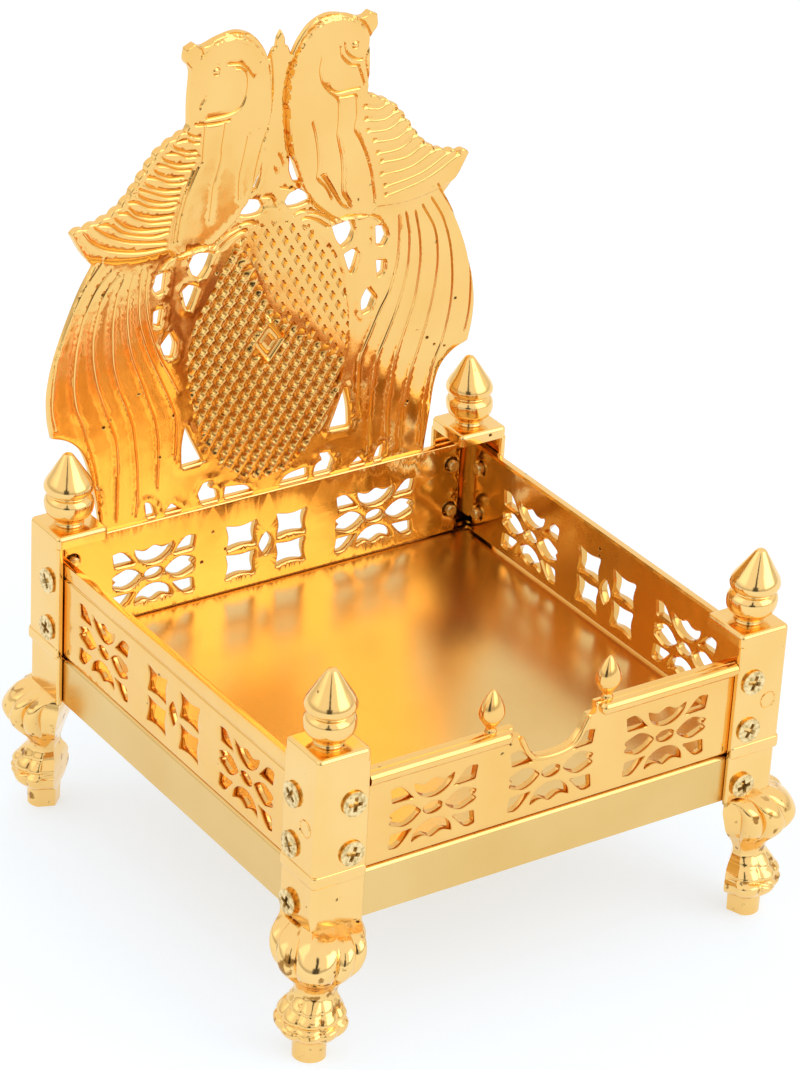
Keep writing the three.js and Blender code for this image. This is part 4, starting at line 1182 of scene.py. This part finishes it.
def peacock_panel():
    birds = [in_frame(BIRD), mirror(in_frame(BIRD))]
    outlines = [swayed(flow(bird, 0.45)) for bird in birds]
    free_edges = [swayed(flow(bird, 0.45, False)) for bird in birds]
    claws = CLAW_LINES + [np.ravel(mirror(pairs(row))) for row in CLAW_LINES]
    bodies = fine_lines(LEFT_BIRD_LINES + RIGHT_BIRD_LINES + STEM_LINES)
    bodies += [swayed(line) for line in fine_lines(claws)]
    tails = fine_lines(LEFT_TAIL_LINES + RIGHT_TAIL_LINES)
    # The ribs of the left tail stand higher than those of the right
    ribs = [offset(line, -0.42, False) for line in tails]
    left = len(LEFT_TAIL_LINES)
    feathers = fine_lines(LEFT_WING_LINES)
    roots, notches = pairs(WING_ROOTS), pairs(WING_NOTCHES)
    sags = (roots + notches) / 2 + (0.8, -WING_SAG)
    furrows = fine_lines(np.hstack([roots, sags, notches]))
    dots = [(root, 0.3) for root in roots] + [(notch, 0.38) for notch in notches]

    rows = with_shoulders(bodies + feathers + tails, 0.17, 0.36)
    rows += ribs + [offset(line, -0.8, False) for line in tails]
    rows += with_shoulders(furrows, 0.3, 0.6)
    for way in (1, -1):
        at = way * np.arange(14, 46, 0.45) - 1
        rows += [np.stack([at, wing_foot(at) + lift], 1) for lift in (0.02, 0.12, 0.3, 0.55)]
    for outline in outlines:
        rows += [offset(outline, move) for move in (0, 0.25, 0.5, 1.0, 1.4, -0.15, -0.5)]
    ring = circle(16)
    rows += [eye + radius * ring for eye in EYES for radius in (0.25, 0.5, 0.75, 1.0, 1.25, 1.5)]
    rows += [dot + share * radius * ring for dot, radius in dots for share in (0, 0.5, 1.0, 1.6)]
    rows.append(circle(220) * MEDALLION_HALVES + MEDALLION_MIDDLE)
    rows = [row[lattice_room(row) < 0] for row in rows]
    rows += [room_line(0), room_line(0.13), lattice_grid(), *diamond_rows()]
    grid = hex_grid((-51, FRAME_FOOT), (50, 155), PANEL_GRID)
    grid = grid[lattice_room(grid) < -0.3]

    def height(points, gap):
        x, z = points.T
        from_stem = np.abs(x - BIRDS_MIDDLE)
        # The stem between the birds is a lower plate
        rise = np.where((from_stem < STEM_HALF_WIDTH) & (z > STEM_FOOT), -0.3, 0.0)
        hang = z - wing_foot(x)
        on_wing = (from_stem > WING_START) & (hang > 0)
        rise = np.where(on_wing, 0.42 * np.sqrt(np.clip(hang / 0.5, 0, 1)), rise)
        for outline, free_edge in zip(outlines, free_edges):
            # Over the heads a bird's edge is the panel's own edge, which has no raised band
            edge = np.where((z > HEAD_FOOT) & (gap < 1.3), 2, distance(points, free_edge))
            band = 0.14 * np.clip(1.5 - edge / 0.9, 0, 1)
            shoulder = np.sqrt(1 - (1 - np.clip(edge / 0.4, 0, 1)) ** 2)
            ditch = np.where(from_stem < STEM_HALF_WIDTH, -0.65 * dent(edge, 0.45), 0)
            body = inside(points, [outline])
            rise = np.where(body, 0.02 + 0.4 * shoulder + band, rise + ditch)
        for lines, width, depth in (
            (bodies, 0.17, 0.34), (feathers, 0.17, 0.26), (tails, 0.15, 0.3),
            (ribs[:left], 0.32, -0.22), (ribs[left:], 0.32, -0.13), (furrows, 0.4, 0.3),
        ):
            for line in lines:
                rise += groove(points, line, width, depth)
        for middle, radius in dots:
            rise -= 0.4 * dent(np.hypot(*(points - middle).T), radius)
        for middle in EYES:
            off = np.hypot(*(points - middle).T)
            rise += 0.22 * dent(off, 0.4) - 0.2 * dent(off - 0.75, 0.15)
            rise -= 0.16 * dent(off - 1.35, 0.15)
        # Scrollwork has a raised lip along its openings
        share = medallion_share(points)
        scroll = (z < LOW_SCROLL_TOP) | (np.abs(x) < SCROLL_HALF_WIDTH) & (z < SCROLL_TOP)
        rise += np.where(scroll & (share > 1), 0.3 * dent(gap - 0.75, 0.35), 0)
        room = lattice_room(points)
        rise = np.where((share <= 1) & (room <= 0.05), 0, rise)
        return np.where(room > 0.05, lattice_height(points), rise)

    return relief(panel_loops(), PANEL_FRONT, PANEL_BACK, PANEL_EDGE, grid, height, rows)


def leaned(mesh):
    """The panel leans a little forwards above the rail."""
    for vertex in mesh.vertices:
        rise = max(0, vertex.co.z / MM - RAIL_TOP)
        vertex.co.y -= PANEL_LEAN * rise / FRAME_HEIGHT * MM
    return mesh


def painted_shade_in_pits(mesh):
    """Marks the floors of the lattice's pits for painted shade, darker the deeper they lie."""
    points = points_of(mesh)
    depth = points[:, 1] + PANEL_LEAN * (points[:, 2] - RAIL_TOP) / FRAME_HEIGHT - PANEL_FRONT
    pits = (lattice_room(points[:, [0, 2]]) > 0.1) & (depth < PANEL_THICKNESS - 0.2)
    painted_shade = mesh.attributes["painted_shade"]
    marks = np.zeros(len(points))
    painted_shade.data.foreach_get("value", marks)
    marks = np.maximum(marks, np.where(pits, np.clip((depth - 0.42) / 0.3, 0, 1), 0))
    painted_shade.data.foreach_set("value", marks)
    return mesh


def make_back(rail):
    rail = moved(rail, quarter_turn(2))
    # The back rail's foot comes down closer to the tray than those of the sides
    for vertex in rail.vertices:
        if vertex.co.z < (RAIL_BOTTOM + 0.5) * MM:
            vertex.co.z -= BACK_RAIL_DROP * MM
    # The lattice's pits get painted shade
    mesh = painted_shade_in_pits(joined([leaned(peacock_panel()), rail]))
    finish_piece("peacock_back_cast", mesh, GILT, ["peacock_back"], 60)


# Seat tray

def make_tray():
    corner = RAIL_OUTER - TRAY_NOTCH
    sides = []
    for inset, steps in ((TRAY_THICKNESS, 5), (0, 8)):
        side, top, bend = RAIL_OUTER - inset, TRAY_TOP - inset, TRAY_BEND - inset
        sides.append([(side, TRAY_BOTTOM)] + [
            (side - bend * (1 - math.cos(a)), top - bend * (1 - math.sin(a)))
            for a in np.linspace(0, math.pi / 2, steps)
        ])
    half = sides[0][::-1] + sides[1]
    channel = sleeve([[(x, y, z) for x, z in half + mirror(half)] for y in (-corner, corner)])

    def mend(bm):
        bmesh.ops.triangulate(bm, faces=[face for face in bm.faces if len(face.verts) > 4])
        bmesh.ops.recalc_face_normals(bm, faces=bm.faces)

    edited(channel, mend)
    mesh = combined(channel, [moved(channel, quarter_turn(1))], "UNION")
    finish_piece("seat_tray_sheet", mesh, SATIN, ["seat_tray"], 30)


# Screws

HEAD_RADIUS = 2.45
HEAD_RISE = 0.6
RIM_THICKNESS = 0.3
SHANK_RADIUS = 1.15
CONE_DEPTH = 0.95
SCREW_LENGTH = 4.6
RECESS_DEPTH = 1.1
# Half length and half width of the recess's arms at each height
RECESS = [
    (0.8, 0.22, HEAD_RISE - RECESS_DEPTH), (1.45, 0.4, HEAD_RISE), (1.5, 0.43, HEAD_RISE + 0.3),
]
SCREW_SEED = 11
# Screws of a post: its face, 0 or 1, and their height; and what the faces hold, round the throne
SCREW_ROWS = [(0, "top"), (0, "low"), (0, "tray"), (1, "top"), (1, "low")]
HELD = ["left_rail", "front_rail", "right_rail", "back", "left_rail"]


def screw_seats():
    """Place, axis and node name of each screw."""
    seats = []
    for turns, corner in enumerate(CORNERS):
        turn = quarter_turn(turns)
        for face, level in SCREW_ROWS:
            across = [-SEAT_WIDTH / 2, -SCREW_ACROSS]
            axis = [-1, 0]
            if face:
                across.reverse()
                axis.reverse()
            held = "tray" if level == "tray" else f"{HELD[turns + face]}_{level}"
            place = Vector((*across, SCREW_HEIGHTS[level])) * MM
            seats.append((turn @ place, turn @ Vector((*axis, 0)), f"screw_{corner}_{held}"))
    return seats


def screw():
    """One countersunk screw along Z with a cross recess, whose walls deep in the recess are marked
    for painted shade.
    """
    body = lathe([
        (SHANK_RADIUS * 0.8, -SCREW_LENGTH), (SHANK_RADIUS, -SCREW_LENGTH + 0.25),
        (SHANK_RADIUS, -CONE_DEPTH), (HEAD_RADIUS, HEAD_RISE - RIM_THICKNESS),
        (HEAD_RADIUS, HEAD_RISE - 0.12), (HEAD_RADIUS - 0.04, HEAD_RISE - 0.04),
        (HEAD_RADIUS - 0.13, HEAD_RISE), (HEAD_RADIUS - 0.5, HEAD_RISE + 0.02),
        (0.5, HEAD_RISE + 0.05),
    ])
    corners = [(-1, -1), (1, -1), (1, 1), (-1, 1)]
    arm = sleeve([
        [(x * reach, y * half, height) for x, y in corners] for reach, half, height in RECESS
    ])
    mesh = combined(body, [moved(arm, quarter_turn(turns)) for turns in (0, 1)], "DIFFERENCE")
    x, y, z = points_of(mesh).T
    deep = (np.hypot(x, y) < 1.2) & (z < HEAD_RISE - 0.4) & (z > -CONE_DEPTH)
    mesh.attributes.new("painted_shade", "FLOAT", "POINT").data.foreach_set("value", deep.astype(float))
    return mesh


def screw_tree():
    """Sets a screw on every seat point along the seat's axis, each turned by chance about it."""
    tree = bpy.data.node_groups.new("screws_on_seats", "GeometryNodeTree")
    for name, kind, way in (
        ("Seats", "Geometry", "INPUT"), ("Screw", "Object", "INPUT"), ("Seed", "Int", "INPUT"),
        ("Finish", "Material", "INPUT"), ("Screws", "Geometry", "OUTPUT"),
    ):
        tree.interface.new_socket(name, in_out=way, socket_type=f"NodeSocket{kind}")
    given = tree.nodes.new("NodeGroupInput").outputs
    form = node(tree, "GeometryNodeObjectInfo", {"Object": given["Screw"]}, "Geometry")
    axis = node(
        tree, "GeometryNodeInputNamedAttribute", {"Name": "axis"}, "Attribute",
        data_type="FLOAT_VECTOR",
    )
    chance = node(tree, "FunctionNodeRandomValue", {"Seed": given["Seed"]}, 1, data_type="FLOAT")
    angle = node(tree, "Math", {0: chance, 1: math.pi / 2}, operation="MULTIPLY")
    along = node(tree, "FunctionNodeAlignRotationToVector", {"Vector": axis}, axis="Z")
    about = node(tree, "FunctionNodeAxisAngleToRotation", {"Angle": angle, "Axis": (0, 0, 1)})
    full = node(
        tree, "FunctionNodeRotateRotation", {"Rotation": along, "Rotate By": about},
        rotation_space="LOCAL",
    )
    placed = node(
        tree, "GeometryNodeInstanceOnPoints",
        {"Points": given["Seats"], "Instance": form, "Rotation": full},
    )
    real = node(tree, "GeometryNodeRealizeInstances", {"Geometry": placed})
    dress = {"Geometry": real, "Material": given["Finish"]}
    node(tree, "NodeGroupOutput", {0: node(tree, "GeometryNodeSetMaterial", dress)})
    return tree


def make_screws():
    places, axes, names = zip(*screw_seats())
    points = bpy.data.meshes.new("seats")
    points.from_pydata(places, [], [])
    ways = points.attributes.new("axis", "FLOAT_VECTOR", "POINT")
    ways.data.foreach_set("vector", np.ravel(axes))
    holder, form = shown("seats", points), shown("screw_form", screw())
    setting = holder.modifiers.new("screws", "NODES")
    setting.node_group = screw_tree()
    values = {"Screw": form, "Seed": SCREW_SEED, "Finish": ZINC}
    for item in setting.node_group.interface.items_tree:
        if item.name in values:
            setting[item.identifier] = values[item.name]
    finish_piece("screws_zinc", result_of(holder, form), ZINC, names, 30)


# Floor and light

# Half the floor's side in millimetres, and the way from the throne to the camera in degrees
FLOOR_REACH = 3000
CAMERA_AZIMUTH = -124.9
# Studio patches: azimuth, elevation, width and height in degrees, softness, brightness
STUDIO = [
    (CAMERA_AZIMUTH, 6, 250, 12, 0.7, 0.6),
    (CAMERA_AZIMUTH + 65, 33, 50, 46, 0.25, 2.3),
    (CAMERA_AZIMUTH - 75, 40, 40, 40, 0.3, 1.35),
    (CAMERA_AZIMUTH - 3, 33, 9, 40, 0.3, 0.05),
    (CAMERA_AZIMUTH - 3, 10, 24, 24, 0.3, 0.08),
]


def make_floor():
    """White paper that glows a little, so that the floor looks as bright as the background."""
    mesh = mesh_from([(FLOOR_REACH * x, FLOOR_REACH * y, 0) for x, y in QUARTERS], [(0, 1, 3, 2)])
    material, tree, _ = new_material("white_paper")
    shader = node(tree, "BsdfPrincipled", {
        "Base Color": linear("#A7B3BF"), "Roughness": 0.9, "Specular IOR Level": 0,
        "Emission Color": linear("#FFFFFF"), "Emission Strength": 0.6,
    })
    node(tree, "OutputMaterial", {"Surface": shader})
    mesh.materials.append(material)
    shown("floor", mesh)


def facing(tree, ways, azimuth, elevation, width, height, soft):
    """1 towards a patch of the studio given in degrees, fading to 0 at its edges."""
    masks = {}
    for key, middle, size in ((0, azimuth, width), (1, elevation, height)):
        off = node(tree, "Math", {0: ways[key], 1: math.radians(middle)}, operation="SUBTRACT")
        off = node(tree, "Math", {0: off, 1: math.pi, 2: -math.pi}, operation="WRAP")
        off = node(tree, "Math", {0: off}, operation="ABSOLUTE")
        masks[key] = node(tree, "MapRange", {
            "Value": off, "To Min": 1, "To Max": 0,
            "From Min": math.radians(size / 2 * (1 - soft)),
            "From Max": math.radians(size / 2 * (1 + soft)),
        }, interpolation_type="SMOOTHSTEP")
    return node(tree, "Math", masks, operation="MULTIPLY")


def make_light():
    """An evenly white studio, with patches that are brighter or darker in the mirror finishes."""
    world = bpy.data.worlds.new("studio")
    bpy.context.scene.world = world
    world.use_nodes = True
    tree = world.node_tree
    tree.nodes.clear()
    towards = node(tree, "TexCoord", out="Generated")
    x, y, z = (node(tree, "SeparateXYZ", {0: towards}, axis) for axis in (0, 1, 2))
    ways = (
        node(tree, "Math", {0: y, 1: x}, operation="ARCTAN2"),
        node(tree, "Math", {0: z}, operation="ARCSINE"),
    )
    level = [1.0] * 4
    for *patch, brightness in STUDIO:
        level = node(tree, "Mix", {
            SHARE: facing(tree, ways, *patch), LOW: level, HIGH: [brightness] * 3 + [1],
        }, MIXED, data_type="RGBA")
    background = node(tree, "Background", {"Color": level, "Strength": 1})
    node(tree, "OutputWorld", {"Surface": background})
    bpy.context.scene.view_settings.view_transform = "Standard"


place_camera()
make_floor()
make_light()
make_posts()
make_back(make_rails())
make_tray()
make_screws()
